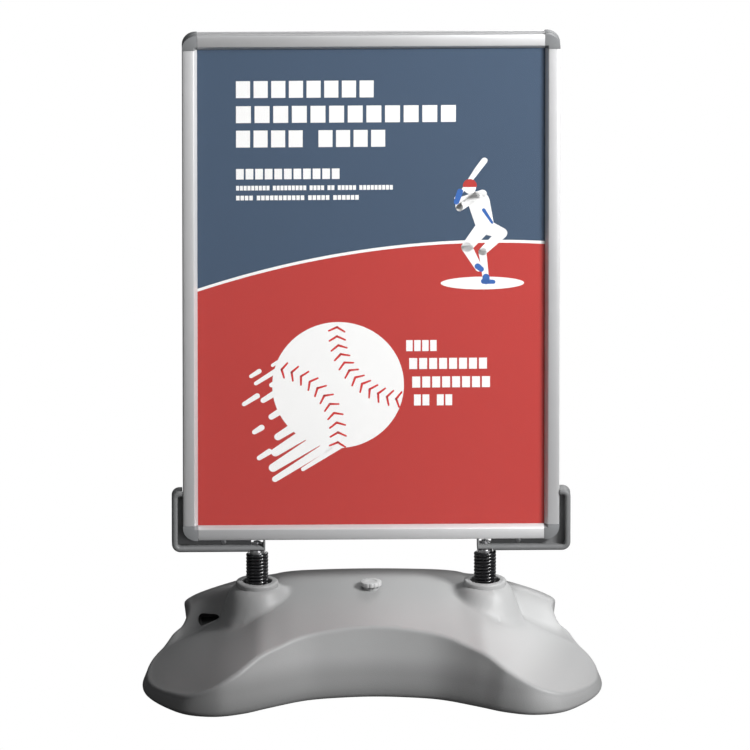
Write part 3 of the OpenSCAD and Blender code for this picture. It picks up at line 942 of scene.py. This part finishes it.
@dataclass
class Springs:
    """The two closed-coil springs, and the turned plugs and bolts at their upper ends."""

    wire_r: float = 0.0028
    pitch: float = 0.0058
    steps: int = 40
    wire_sides: int = 14
    blend_low: float = 0.150
    blend_high: float = 0.200
    plug_bore: float = 0.004
    plug_edge: float = 0.0008
    dome_r: float = 0.006
    shank_r: float = 0.00395
    flange_r: float = 0.0079
    hex_r: float = 0.0069
    hex_h: float = 0.0042

    def coil(self, name: str) -> bpy.types.Object:
        """One spring, as a ring of wire that is turned up its helix."""
        low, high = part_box(name)
        x = (low[0] + high[0]) / 2
        coil_r = (high[0] - low[0]) / 2 - self.wire_r
        turns = round((high[2] - low[2] - 2 * self.wire_r) / self.pitch)
        clear_selection()
        bpy.ops.mesh.primitive_circle_add(
            vertices=self.wire_sides, radius=self.wire_r, fill_type="NOTHING",
            location=(coil_r, 0, low[2] + self.wire_r), rotation=(math.pi / 2, 0, 0),
        )
        piece = bpy.context.object
        piece.name = f"{name}_coil"
        place_applied()
        finish_with(piece, "SCREW", angle=math.tau, screw_offset=self.pitch, iterations=turns,
                    steps=self.steps, render_steps=self.steps, axis="Z", use_merge_vertices=False)
        edit_all(piece)
        bpy.ops.mesh.remove_doubles(threshold=DOUBLES)
        bpy.ops.mesh.fill_holes(sides=self.wire_sides)
        close_edit()
        piece.data.transform(Matrix.Translation((x, 0, 0)))
        face_outwards(piece)
        smoothed(piece, 40)
        return piece

    def plug(self, name: str) -> bpy.types.Object:
        """One domed plug that closes a spring's upper end."""
        low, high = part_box(name)
        x, r, top = (low[0] + high[0]) / 2, (high[0] - low[0]) / 2, high[2]
        profile = [(self.plug_bore, low[2]), (r - self.plug_edge, low[2]), (r, low[2] + self.plug_edge)]
        profile += arc((r - self.dome_r, top - self.dome_r), self.dome_r, 0, 88, 10)
        profile += [(self.plug_bore, top - 0.00005)]
        return lathed(f"{name}_dome", profile, 64, (x, 0))

    def bolt(self, name: str, x: float, seat: float, tip: float) -> bpy.types.Object:
        """One hex bolt with a flange, from its seat up to its head and down to its tip."""
        shank = lathed(name, [
            (0, tip), (self.shank_r - 0.00025, tip), (self.shank_r, tip + 0.001), (self.shank_r, seat),
            (self.flange_r, seat), (self.flange_r, seat + 0.0009), (0.0064, seat + 0.0016),
            (0, seat + 0.0016),
        ], 48, (x, 0))
        clear_selection()
        bpy.ops.mesh.primitive_cylinder_add(
            vertices=6, radius=self.hex_r, depth=self.hex_h, location=(x, 0, seat + 0.0029)
        )
        head = place_applied()
        bevelled(head, 0.0006, 2, 60)
        cut_with(shank, head, Cut.UNION)
        smoothed(shank, 30)
        return shank

    def build(self) -> None:
        """Builds springs, plugs and their bolts, and dresses them."""
        for side in ("left", "right"):
            name = f"spring_{side}"
            coil = self.coil(name)
            SPRING.dress(coil)
            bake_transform(coil)
            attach(coil, "root")
            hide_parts(name)
            plug = self.plug(f"spring_cap_{side}")
            smoothed(plug, 40)
            PLUG.dress(plug)
            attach(plug, "sign")
            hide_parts(f"spring_cap_{side}")
            log.info("%s and its plug", name)
        low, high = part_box("cap_bolts")
        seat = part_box("bracket_left")[0][2] + 0.0095
        reach = (high[0] - low[0]) / 2 - 0.007
        bolts = joined([self.bolt("bolt", s * reach, seat, low[2]) for s in (-1, 1)], "shelf_bolts")
        BOLT.dress(bolts)
        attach(bolts, "sign")
        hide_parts("cap_bolts")
        log.info("shelf_bolts")


# ---- sign ----


class Side(Enum):
    """A side of a snap frame, by the direction from it to the frame's middle."""

    LEFT = (1, 0, 0)
    RIGHT = (-1, 0, 0)
    TOP = (0, 0, -1)
    BOTTOM = (0, 0, 1)


@dataclass
class FrameSizes:
    """The outer size of the snap frames, read from the CAD nodes."""

    width: float = field(init=False)
    height: float = field(init=False)
    bottom: float = field(init=False)
    back: float = field(init=False)
    depth: float = field(init=False)
    rail_w: float = 0.025

    def __post_init__(self) -> None:
        """Reads the corner pieces' boxes."""
        low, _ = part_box("front_corner_bottom_left")
        _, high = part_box("front_corner_top_right")
        self.width = high[0] - low[0]
        self.height = high[2] - low[2]
        self.bottom = low[2]
        self.back = -high[1]
        self.depth = high[1] - low[1]

    def middle(self) -> float:
        """Height of the frames' middle."""
        return self.bottom + self.height / 2

    def place(self, side: Side) -> Matrix:
        """Where a front rail's own directions go: inwards, away from the sign's plane, and along it."""
        u = Vector(side.value)
        w = Vector((0, -1, 0))
        along_it = u.cross(w)
        reach = self.width / 2 if side in (Side.LEFT, Side.RIGHT) else self.height / 2
        origin = Vector((0, -self.back, self.middle())) - u * reach
        axes = Matrix((u, w, along_it)).transposed().to_4x4()
        return Matrix.Translation(origin) @ axes

    def length(self, side: Side) -> float:
        """Length of a rail between the corner pieces."""
        whole = self.height if side in (Side.LEFT, Side.RIGHT) else self.width
        return whole - 2 * self.rail_w


@dataclass
class SnapFrames:
    """The two faces of the sign, each with four rails, hinged lids, corner pieces and what they hold.

    The front one is modelled, and the rear one is a copy of it, turned round.
    """

    sizes: FrameSizes
    bead: Point2 = (0.0027, 0.0094)
    bead_r: float = 0.00165
    hook_r: float = 0.0029
    lid_gap: float = 0.0003

    @staticmethod
    def settle(piece: bpy.types.Object, finish: Finish, name: str, body: str | None = None) -> None:
        """Dresses a front piece, copies it to the rear and hands both over.

        Args:
            piece: The front piece.
            finish: What it is made of.
            name: Its CAD node's name without the face.
            body: The body that both ride on, or None for one of the node's own name.
        """
        finish.dress(piece)
        for face, part in (("front", piece), ("rear", turned_copy(piece, f"rear_{name}_cap"))):
            node = f"{face}_{name}"
            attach(part, body or node)
            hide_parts(node)
            log.info(node)

    def lid_outline(self) -> list[Point2]:
        """Section of a lid: hook round the bead, plate and sloping lip."""
        u, w = self.bead
        depth, rail = self.sizes.depth, self.sizes.rail_w
        inner = arc(self.bead, self.bead_r, -40, 150, 14)
        outer = arc(self.bead, self.hook_r, 150, 95, 6)
        plate = [(0.0034, w + 0.00315), (0.006, depth - 0.00005), (0.0184, depth - 0.00005),
                 (0.0189, depth - 0.00018), (0.0193, depth - 0.0006)]
        lip = [(rail - 0.0002, 0.0062), (rail - 0.0001, 0.0055), (rail - 0.0004, 0.0051),
               (rail - 0.0011, 0.0051)]
        under = [(0.0181, depth - 0.0015), (0.006, depth - 0.0015)]
        return inner + outer + plate + lip + under + arc(self.bead, self.hook_r, 25, -40, 8)

    def build_lids(self) -> None:
        """Builds the four hinged lids of each face, each on a body of its own, and dresses the rails."""
        for side in Side:
            name = f"lid_{side.name.lower()}"
            length = self.sizes.length(side) - 2 * self.lid_gap
            lid = prism(f"front_{name}_cap", self.lid_outline(), length, self.sizes.place(side))
            bevelled(lid, 0.00022, 2, 50)
            smoothed(lid, 35)
            stretch = ALONG_Z if side in (Side.LEFT, Side.RIGHT) else ALONG_X
            self.settle(lid, aluminium("lid", stretch), name)
            for face in ("front", "rear"):
                aluminium("rail", stretch).dress_node(f"{face}_rail_{side.name.lower()}")

    def corner_outline(self) -> list[Point2]:
        """Outline of a corner piece: a square with its outer corner rounded."""
        rail, r = self.sizes.rail_w, 0.022
        return arc((r, r), r, 180, 270, 16) + [(rail, 0), (rail, rail), (0, rail)]

    def corner(self, name: str, across: int, up: int) -> bpy.types.Object:
        """One corner piece with its two tongues.

        Args:
            name: The piece's name.
            across: 1 at the frame's left, -1 at its right.
            up: 1 at the bottom, -1 at the top.

        Returns:
            The new piece.
        """
        s = self.sizes
        origin = Matrix.Translation((-across * s.width / 2, -s.back, s.middle() - up * s.height / 2))
        axes = Matrix(((across, 0, 0, 0), (0, 0, -1, 0), (0, up, 0, 0), (0, 0, 0, 1)))
        body = prism(name, self.corner_outline(), s.depth, Matrix.Translation((0, 0, s.depth / 2)))
        slope, other = (
            prism("slope", [(0.019, 0.013), (0.0251, 0.005), (0.03, 0.005), (0.03, 0.018), (0.019, 0.018)],
                  0.06, way)
            for way in (UPRIGHT, SIDEWAYS)
        )
        cut_with(slope, other, Cut.INTERSECT)
        cut_with(body, slope, Cut.DIFFERENCE)
        cut_with(body, block((0.0145, 0.0145, 0.0015), (0.04, 0.04, 0.0052)), Cut.DIFFERENCE)
        bevelled(body, 0.0009, 3, 40)
        for low, high in (((0.023, 0.0042, 0.0018), (0.055, 0.0106, 0.0056)),
                          ((0.0042, 0.023, 0.0018), (0.0106, 0.055, 0.0056))):
            tongue = block(low, high)
            bevelled(tongue, 0.0006, 2, 40)
            cut_with(body, tongue, Cut.UNION)
        body.data.transform(origin @ axes)
        face_outwards(body)
        smoothed(body, 35)
        return body

    def build(self) -> None:
        """Builds and dresses both faces."""
        self.build_lids()
        for v_name, up in (("top", -1), ("bottom", 1)):
            for h_name, across in (("left", 1), ("right", -1)):
                name = f"corner_{v_name}_{h_name}"
                self.settle(self.corner(f"front_{name}_cap", across, up), CORNER, name, "sign")
        for face in ("front", "rear"):
            PANEL.dress_node(f"{face}_panel")
            CLIP.dress_node(f"{face}_clips")
            COVER.dress_node(f"{face}_cover")


@dataclass
class CarrierBrackets:
    """The two L-shaped brackets that carry the sign, with the bolts and nuts through their webs."""

    sizes: FrameSizes
    rim: float = 0.0095
    rounding: float = 0.0042
    web: float = 0.003
    corner_r: float = 0.014
    end_t: float = 0.0033
    recess: float = 0.0127
    recess_h: float = 0.004
    top_r: float = 0.013
    overlap: float = 0.024
    hole_r: float = 0.0042
    nut_r: float = 0.0046
    head_r: float = 0.0044
    nut_bore: float = 0.0026

    def centreline(self, side: str) -> list[Point2]:
        """The rim's middle line in x and z for the right-hand bracket."""
        low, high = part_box(f"bracket_{side}")
        inner, outer = min(abs(low[0]), abs(high[0])), max(abs(low[0]), abs(high[0]))
        half = self.rim / 2
        bottom, top = low[2], high[2]
        points = [(inner + 0.0012, bottom + half), (inner + self.end_t, bottom + half)]
        points += arc((outer - self.corner_r, bottom + self.corner_r), self.corner_r - half, 270, 360, 12)
        points += arc((outer - self.top_r, top - self.top_r), self.top_r - half, 0, 90, 10)
        points += [(self.sizes.width / 2 + 0.0008, top - half)]
        return points

    def rim_section(self, depth: float) -> list[Point2]:
        """The rim's own section, a slab with rounded edges: across its thickness and along its depth."""
        a, b, r = self.rim / 2, depth / 2, self.rounding
        points: list[Point2] = []
        for cx, cy, start in ((a - r, b - r, 0), (-a + r, b - r, 90), (-a + r, -b + r, 180), (a - r, -b + r, 270)):
            points += arc((cx, cy), r, start, start + 90, 5)
        return points

    def web_outline(self, side: str) -> list[Point2]:
        """Outline of the flat web, a little inside the rim's outer face."""
        low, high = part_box(f"bracket_{side}")
        inner, outer = min(abs(low[0]), abs(high[0])), max(abs(low[0]), abs(high[0]))
        bottom, top, t = low[2], high[2], self.rim / 2
        edge = self.sizes.width / 2 - self.overlap
        shelf = self.sizes.bottom + self.overlap
        points = [(inner + 0.0012, bottom + t)]
        points += arc((outer - self.corner_r, bottom + self.corner_r), self.corner_r - t, 270, 360, 6)
        points += arc((outer - self.top_r, top - self.top_r), self.top_r - t, 0, 90, 6)
        return points + [(edge, top - t), (edge, shelf), (inner + 0.0012, shelf)]

    def bracket(self, side: str) -> bpy.types.Object:
        """One bracket: its rim swept along the corner line and its web joined on."""
        low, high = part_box(f"bracket_{side}")
        line = self.centreline(side)
        section = self.rim_section(high[1] - low[1])
        rings = []
        for k, (x, z) in enumerate(line):
            a, b = line[max(k - 1, 0)], line[min(k + 1, len(line) - 1)]
            run = Vector((b[0] - a[0], b[1] - a[1])).normalized()
            rings.append([Vector((x + run.y * p, q, z - run.x * p)) for p, q in section])
        piece = skinned(f"bracket_{side}_arm", rings)
        cut_with(piece, prism("web", self.web_outline(side), self.web, UPRIGHT), Cut.UNION)
        inner, half = min(abs(low[0]), abs(high[0])), (high[1] - low[1]) / 2
        end = block((inner, -half + 0.0003, low[2]),
                    (inner + self.end_t, half - 0.0003, self.sizes.bottom - 0.0008))
        bevelled(end, 0.0012, 3, 60)
        cut_with(piece, end, Cut.UNION)
        bolt_x = sum(p[0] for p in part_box("spring_cap_right")) / 2
        cut_with(piece, block((bolt_x - self.recess, -half - 0.001, low[2] - 0.001),
                              (bolt_x + self.recess, half + 0.001, low[2] + self.recess_h)), Cut.DIFFERENCE)
        hole = disc(self.hole_r, low[2] - CUT_SLACK, low[2] + self.rim + 0.001, (bolt_x, 0), 48)
        cut_with(piece, hole, Cut.DIFFERENCE)
        notch = block((bolt_x - 0.01, -self.web / 2 - 0.0005, low[2] + self.rim),
                      (bolt_x + 0.01, self.web / 2 + 0.0005, low[2] + self.rim + 0.0094))
        cut_with(piece, notch, Cut.DIFFERENCE)
        if side == "left":
            piece.data.transform(Matrix.Diagonal((-1, 1, 1, 1)))
        face_outwards(piece)
        smoothed(piece, 35)
        return piece

    def web_bolt(self, side: int) -> bpy.types.Object:
        """One button-head bolt, its head to the front."""
        low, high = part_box("web_bolts")
        x = side * ((high[0] - low[0]) / 2 - self.head_r)
        z = (low[2] + high[2]) / 2
        head, tip = -low[1], -high[1]
        seat = self.web / 2
        dome = [(self.head_r * math.cos(a), seat + 0.0005 + (head - seat - 0.0005) * math.sin(a))
                for a in (math.radians(9 * k) for k in range(10))]
        shank = [(0, tip), (0.0021, tip), (0.0025, tip + 0.0006), (0.0025, seat), (self.head_r, seat)]
        drive = [(0.0019, head - 0.00003), (0.0019, head - 0.0011), (0, head - 0.0013)]
        bolt = lathed("bolt", shank + dome + drive, 40)
        bolt.data.transform(Matrix.Translation((x, 0, z)) @ Matrix.Rotation(math.pi / 2, 4, "X"))
        smoothed(bolt, 40)
        return bolt

    def nut(self, side: int) -> bpy.types.Object:
        """One hex nut with chamfered corners, behind the web."""
        low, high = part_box("web_nuts")
        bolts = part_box("web_bolts")
        x = side * ((bolts[1][0] - bolts[0][0]) / 2 - self.head_r)
        z = (low[2] + high[2]) / 2
        points = arc((0, 0), self.nut_r, 0, 300, 5)
        thick = high[1] - low[1]
        nut = prism("nut", points, thick, Matrix.Identity(4))
        bevelled(nut, 0.0004, 2, 70)
        cut_with(nut, disc(self.nut_bore, -CUT_SLACK, CUT_SLACK, sides=40), Cut.DIFFERENCE)
        centre = Matrix.Translation((x, low[1] + thick / 2, z))
        nut.data.transform(centre @ Matrix.Rotation(math.pi / 2, 4, "X"))
        smoothed(nut, 30)
        return nut

    def build(self) -> None:
        """Builds both brackets with their bolts and nuts, and dresses them."""
        for side in ("left", "right"):
            piece = self.bracket(side)
            BRACKET.dress(piece)
            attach(piece, "sign")
            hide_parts(f"bracket_{side}")
            log.info("bracket_%s", side)
        for name, make, node in (
            ("web_bolt_heads", self.web_bolt, "web_bolts"), ("web_nut_pair", self.nut, "web_nuts")
        ):
            pair = joined([make(-1), make(1)], name)
            BOLT.dress(pair)
            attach(pair, "sign")
            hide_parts(node)
            log.info(name)


# ---- printed posters ----


class Ink(Enum):
    """The print's colours, linear."""

    BLUE = (0.034, 0.068, 0.124)
    RED = (0.470, 0.024, 0.017)
    WHITE = (0.90, 0.895, 0.885)
    ACCENT = (0.022, 0.118, 0.42)
    CRIMSON = (0.60, 0.02, 0.018)


@dataclass
class PosterArt:
    """The print: two fields with an arc between them, a ball with its trails, a player and plain bars.

    Its flat shapes are measured in millimetres from the middle of the sheet's lower edge, and each lies
    a hair proud of the one under it.
    """

    sheet_back: float = 0.00005
    layer: float = 0.00004
    nudge: float = 0.0000015
    arc_peak: float = 498.0
    arc_x: float = 200.0
    arc_curve: float = 3.44e-4
    stripe: float = 5.0
    ball: Point2 = (-54.7, 251.0)
    ball_r: float = 109.0
    seam_r: float = 118.0
    stitches: int = 13
    parts: list[bpy.types.Object] = field(default_factory=list)

    def boundary(self, x: float) -> float:
        """Height of the arc between the two fields."""
        return self.arc_peak - self.arc_curve * (x - self.arc_x) ** 2

    def shape(self, points: Sequence[Point2], colour: Ink, level: int) -> None:
        """Adds one flat shape of one ink.

        Args:
            points: Its outline.
            colour: Its ink.
            level: How many layers lie under it.
        """
        low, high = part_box("front_poster")
        back = -high[1] + self.sheet_back
        front = back + self.layer * (level + 1) + self.nudge * (len(self.parts) % 20)
        place = Matrix(((1, 0, 0, 0), (0, 0, -1, -(back + front) / 2), (0, 1, 0, low[2]), (0, 0, 0, 1)))
        piece = prism("ink", [(x * MM, z * MM) for x, z in points], front - back, place)
        piece.data.materials.append(ink(colour.name.lower(), colour.value).material())
        self.parts.append(piece)

    def bar(self, x: float, z: float, width: float, height: float, level: int = 3) -> None:
        """A plain white bar from its lower left corner."""
        self.shape([(x, z), (x + width, z), (x + width, z + height), (x, z + height)], Ink.WHITE, level)

    def words(self, x: float, z: float, height: float, width: float, runs: Sequence[int]) -> None:
        """A line of plain blocks, which stands for a line of print.

        Args:
            x: Its left end.
            z: Its lower edge.
            height: Its height.
            width: Its whole length.
            runs: How many blocks each word has.
        """
        step = width / (sum(runs) + 0.7 * (len(runs) - 1))
        at = x
        for run in runs:
            for _ in range(run):
                self.bar(at, z, step * 0.8, height)
                at += step
            at += step * 0.7

    def limb(self, a: Point2, b: Point2, ra: float, rb: float, colour: Ink, level: int) -> None:
        """A tapered bar with round ends from a to b."""
        turn = math.degrees(math.atan2(b[1] - a[1], b[0] - a[0]))
        points = arc(b, rb, turn - 90, turn + 90, 10) + arc(a, ra, turn + 90, turn + 270, 10)
        self.shape(points, colour, level)

    def oval(
        self, centre: Point2, rx: float, rz: float, colour: Ink, level: int, steps: int = 72
    ) -> None:
        """An upright oval."""
        turns = [math.tau * k / steps for k in range(steps)]
        points = [(centre[0] + rx * math.cos(a), centre[1] + rz * math.sin(a)) for a in turns]
        self.shape(points, colour, level)

    def fields(self) -> None:
        """The blue field, the red one below the arc, and the white stripe along it."""
        low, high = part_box("front_poster")
        w, h = (high[0] - low[0]) / MM / 2, (high[2] - low[2]) / MM
        xs = [-w + 2 * w * k / 48 for k in range(49)]
        self.shape([(-w, 0), (w, 0), (w, h), (-w, h)], Ink.BLUE, 0)
        self.shape([(-w, 0), (w, 0)] + [(x, self.boundary(x)) for x in reversed(xs)], Ink.RED, 1)
        self.shape([(x, self.boundary(x) - self.stripe / 2) for x in xs]
                   + [(x, self.boundary(x) + self.stripe / 2) for x in reversed(xs)], Ink.WHITE, 2)

    def seam(self, centre: Point2, start: float, end: float) -> None:
        """One curved seam of the ball, as a row of paired stitches."""
        for k in range(self.stitches):
            a = math.radians(start + (end - start) * k / (self.stitches - 1))
            out = Vector((math.cos(a), math.sin(a)))
            run = Vector((-out.y, out.x)) * (1 if end > start else -1)
            foot = Vector(centre) + out * self.seam_r
            if (foot - Vector(self.ball)).length > self.ball_r - 3:
                continue
            for way in (-1, 1):
                tip = foot + out * way * 13 + run * 7
                self.limb(tuple(foot), tuple(tip), 2.0, 1.5, Ink.CRIMSON, 5)

    def thrown_ball(self) -> None:
        """The ball, its two seams and the trails behind it."""
        cx, cz = self.ball
        heading = math.radians(213)
        back = Vector((math.cos(heading), math.sin(heading)))
        across = Vector((-back.y, back.x))
        trails = (
            (-96, 72, 5), (-84, 112, 6), (-66, 92, 7), (-50, 118, 8), (-33, 74, 9), (-16, 122, 9), (2, 88, 11),
            (22, 132, 11), (44, 150, 13), (66, 168, 13), (86, 176, 9), (98, 128, 6),
        )
        dashes = ((-92, 96, 112, 4), (-58, 122, 148, 4.5), (-8, 146, 160, 5), (34, 158, 178, 5))
        for offset, reach, width in trails:
            start = Vector((cx, cz)) + across * offset * 0.92
            end = start + back * reach
            self.limb(tuple(start), tuple(end), width, width * 0.55, Ink.WHITE, 3)
        for offset, near, far, width in dashes:
            start = Vector((cx, cz)) + across * offset + back * near
            self.limb(tuple(start), tuple(start + back * (far - near)), width, width * 0.8, Ink.WHITE, 3)
        self.oval(self.ball, self.ball_r, self.ball_r, Ink.WHITE, 4, 120)
        self.seam((cx - 118, cz - 88), 78, -22)
        self.seam((cx + 116, cz + 92), 176, 268)

    def player(self) -> None:
        """A plain player with a bat, on a pale spot."""
        self.oval((184, 426), 69, 11, Ink.WHITE, 3)
        white, blue = (Ink.WHITE, 5), (Ink.ACCENT, 6)
        legs_and_arms = (
            ((181, 517), (158, 488), 12, 9, white), ((158, 488), (178, 452), 9, 6, white),
            ((196, 520), (216, 512), 12, 9, white), ((216, 512), (184, 480), 9, 6.5, white),
            ((184, 480), (190, 432), 6.5, 5, white), ((190, 436), (190, 430), 6, 6, blue),
            ((186, 429), (202, 428), 4.5, 3.5, blue), ((176, 455), (182, 450), 5, 4.5, blue),
            ((188, 526), (178, 566), 15, 18, white), ((186, 552), (200, 530), 3, 2, blue),
            ((172, 576), (146, 556), 8, 6, white), ((146, 556), (142, 572), 6, 4.5, white),
            ((184, 580), (150, 570), 7, 5, white), ((141, 566), (147, 584), 4.5, 5, blue),
        )
        bat = (((146, 578), (176, 622), 2.2, 5, white), ((176, 622), (187, 637), 5, 5.2, white))
        for a, b, ra, rb, (colour, level) in legs_and_arms:
            self.limb(a, b, ra, rb, colour, level)
        self.oval((163, 592), 10.5, 12, Ink.WHITE, 6)
        self.shape(arc((163, 594), 11.5, -12, 192, 16), Ink.RED, 7)
        for a, b, ra, rb, (colour, level) in bat:
            self.limb(a, b, ra, rb, colour, level)

    def lines_of_print(self) -> None:
        """Heading, small print and date, each as plain blocks."""
        for z, width, runs in ((747, 233, (8,)), (704, 369, (12,)), (662, 252, (4, 4))):
            self.words(-223, z, 29, width, runs)
        self.words(-223, 607, 18, 174, (11,))
        self.words(-223, 588, 8, 260, (9, 9, 4, 2, 5, 9))
        self.words(-223, 571, 8, 204, (4, 11, 5, 6))
        for z, x, width, runs in (
            (309, 58, 53, (4,)), (278, 63, 132, (8,)), (246, 68, 132, (8,)), (215, 71, 66, (2, 2))
        ):
            self.words(x, z, 19, width, runs)

    def build(self) -> None:
        """Builds the front sheet with its print, and copies it to the rear."""
        self.fields()
        self.thrown_ball()
        self.player()
        self.lines_of_print()
        count = len(self.parts)
        sheet = joined(self.parts, "front_print")
        for face, piece in (("front", sheet), ("rear", turned_copy(sheet, "rear_print"))):
            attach(piece, "sign")
            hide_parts(f"{face}_poster")
            log.info("%s, %d shapes", piece.name, count)


# ---- stage ----


@dataclass
class Studio:
    """Floor, lamps and camera."""

    azimuth: float = -1.2
    elevation: float = 17.0
    distance: float = 40.0
    lens: float = 1160.0
    look_at: tuple[float, float, float] = (0.0065, 0.0, 0.512)
    floor_size: float = 60.0
    floor_shade: Colour = (0.10, 0.10, 0.10)
    ambient_low: float = 0.03
    ambient_high: float = 0.35
    lamps: tuple[tuple[str, tuple[float, float, float], float, float], ...] = (
        ("key", (2.7, -1.9, 2.6), 0.9, 235),
        ("front", (2.4, -3.9, 1.2), 2.0, 42),
        ("left", (-3.2, -2.4, 1.6), 1.6, 6),
        ("rear", (1.4, 3.6, 2.6), 2.0, 55),
    )

    @staticmethod
    def white_to_camera(
        tree: bpy.types.NodeTree, plain: bpy.types.NodeSocket, white: bpy.types.NodeSocket, output: str
    ) -> None:
        """Shows one shader to the camera directly, and another one to all else.

        Args:
            tree: The shader tree.
            plain: What all else meets.
            white: What the camera sees directly.
            output: The type of the tree's output node.
        """
        path = add_node(tree, "LightPath")
        choose = add_node(tree, "MixShader", {"Fac": path.outputs["Is Camera Ray"], 1: plain, 2: white})
        add_node(tree, output, {"Surface": choose.outputs["Shader"]})

    def floor(self) -> None:
        """A floor that the camera sees as plain white, and that throws little light back up."""
        clear_selection()
        bpy.ops.mesh.primitive_plane_add(size=self.floor_size, location=(0, 0, 0))
        floor = bpy.context.object
        floor.name = "floor"
        material = bpy.data.materials.new("floor_white")
        material.use_nodes = True
        tree = material.node_tree
        tree.nodes.clear()
        dull = add_node(tree, "BsdfDiffuse", {"Color": (*self.floor_shade, 1.0)})
        glow = add_node(tree, "Emission", {"Color": WHITE})
        self.white_to_camera(tree, dull.outputs["BSDF"], glow.outputs["Emission"], "OutputMaterial")
        floor.data.materials.append(material)

    def room(self) -> None:
        """A world that is white to the camera and dim to the object, stronger from above."""
        world = bpy.context.scene.world or bpy.data.worlds.new("studio")
        bpy.context.scene.world = world
        world.use_nodes = True
        tree = world.node_tree
        tree.nodes.clear()
        place = add_node(tree, "TexCoord").outputs["Generated"]
        height = add_node(tree, "SeparateXYZ", {"Vector": place}).outputs["Z"]
        fade = add_node(tree, "MapRange", {
            "Value": height, "From Min": -0.1, "To Min": self.ambient_low, "To Max": self.ambient_high,
        })
        dim = add_node(tree, "Background", {
            "Color": (0.97, 0.98, 1.0, 1.0), "Strength": fade.outputs["Result"],
        })
        white = add_node(tree, "Background", {"Color": WHITE})
        self.white_to_camera(tree, dim.outputs["Background"], white.outputs["Background"], "OutputWorld")

    def lamp(self, name: str, place: Sequence[float], size: float, power: float) -> None:
        """One square soft lamp that faces the sign's middle and is never seen itself.

        Args:
            name: The lamp's name.
            place: Where it hangs.
            size: Length of its side.
            power: Its power in watts.
        """
        data = bpy.data.lights.new(name, "AREA")
        data.shape = "SQUARE"
        data.size = size
        data.energy = power
        lamp = bpy.data.objects.new(name, data)
        lamp.location = place
        lamp.rotation_euler = (Vector((0, 0, 0.4)) - lamp.location).to_track_quat("-Z", "Y").to_euler()
        lamp.visible_camera = False
        bpy.context.scene.collection.objects.link(lamp)

    def camera(self) -> None:
        """The camera at the object's usual viewing angle."""
        data = bpy.data.cameras.new("view")
        data.lens = self.lens
        data.sensor_width = 36.0
        data.clip_end = 200.0
        camera = bpy.data.objects.new("view", data)
        a, e = math.radians(self.azimuth), math.radians(self.elevation)
        back = Vector((math.sin(a) * math.cos(e), -math.cos(a) * math.cos(e), math.sin(e)))
        camera.location = Vector(self.look_at) + back * self.distance
        camera.rotation_euler = (-back).to_track_quat("-Z", "Y").to_euler()
        bpy.context.scene.collection.objects.link(camera)
        bpy.context.scene.camera = camera

    def build(self) -> None:
        """Sets the whole stage."""
        bpy.context.scene.view_settings.view_transform = "Standard"
        self.floor()
        self.room()
        for name, place, size, power in self.lamps:
            self.lamp(name, place, size, power)
        self.camera()


def dress_plain_nodes() -> None:
    """Gives the CAD nodes that stay as they are their finishes."""
    for name, finish in (("moulded_inserts", BRASS), ("spring_anchors", ANCHOR), ("anchor_bolts", BOLT),
                         ("filler_seal", SEAL), ("frame_rivets", RIVET), ("frame_spacers", ANCHOR)):
        finish.dress_node(name)


def main() -> None:
    """Builds every sub-assembly in order."""
    Studio().build()
    BallastTank().build()
    FillerCap().build()
    Springs().build()
    sizes = FrameSizes()
    CarrierBrackets(sizes).build()
    SnapFrames(sizes).build()
    PosterArt().build()
    dress_plain_nodes()


if __name__ == "__main__":
    main()
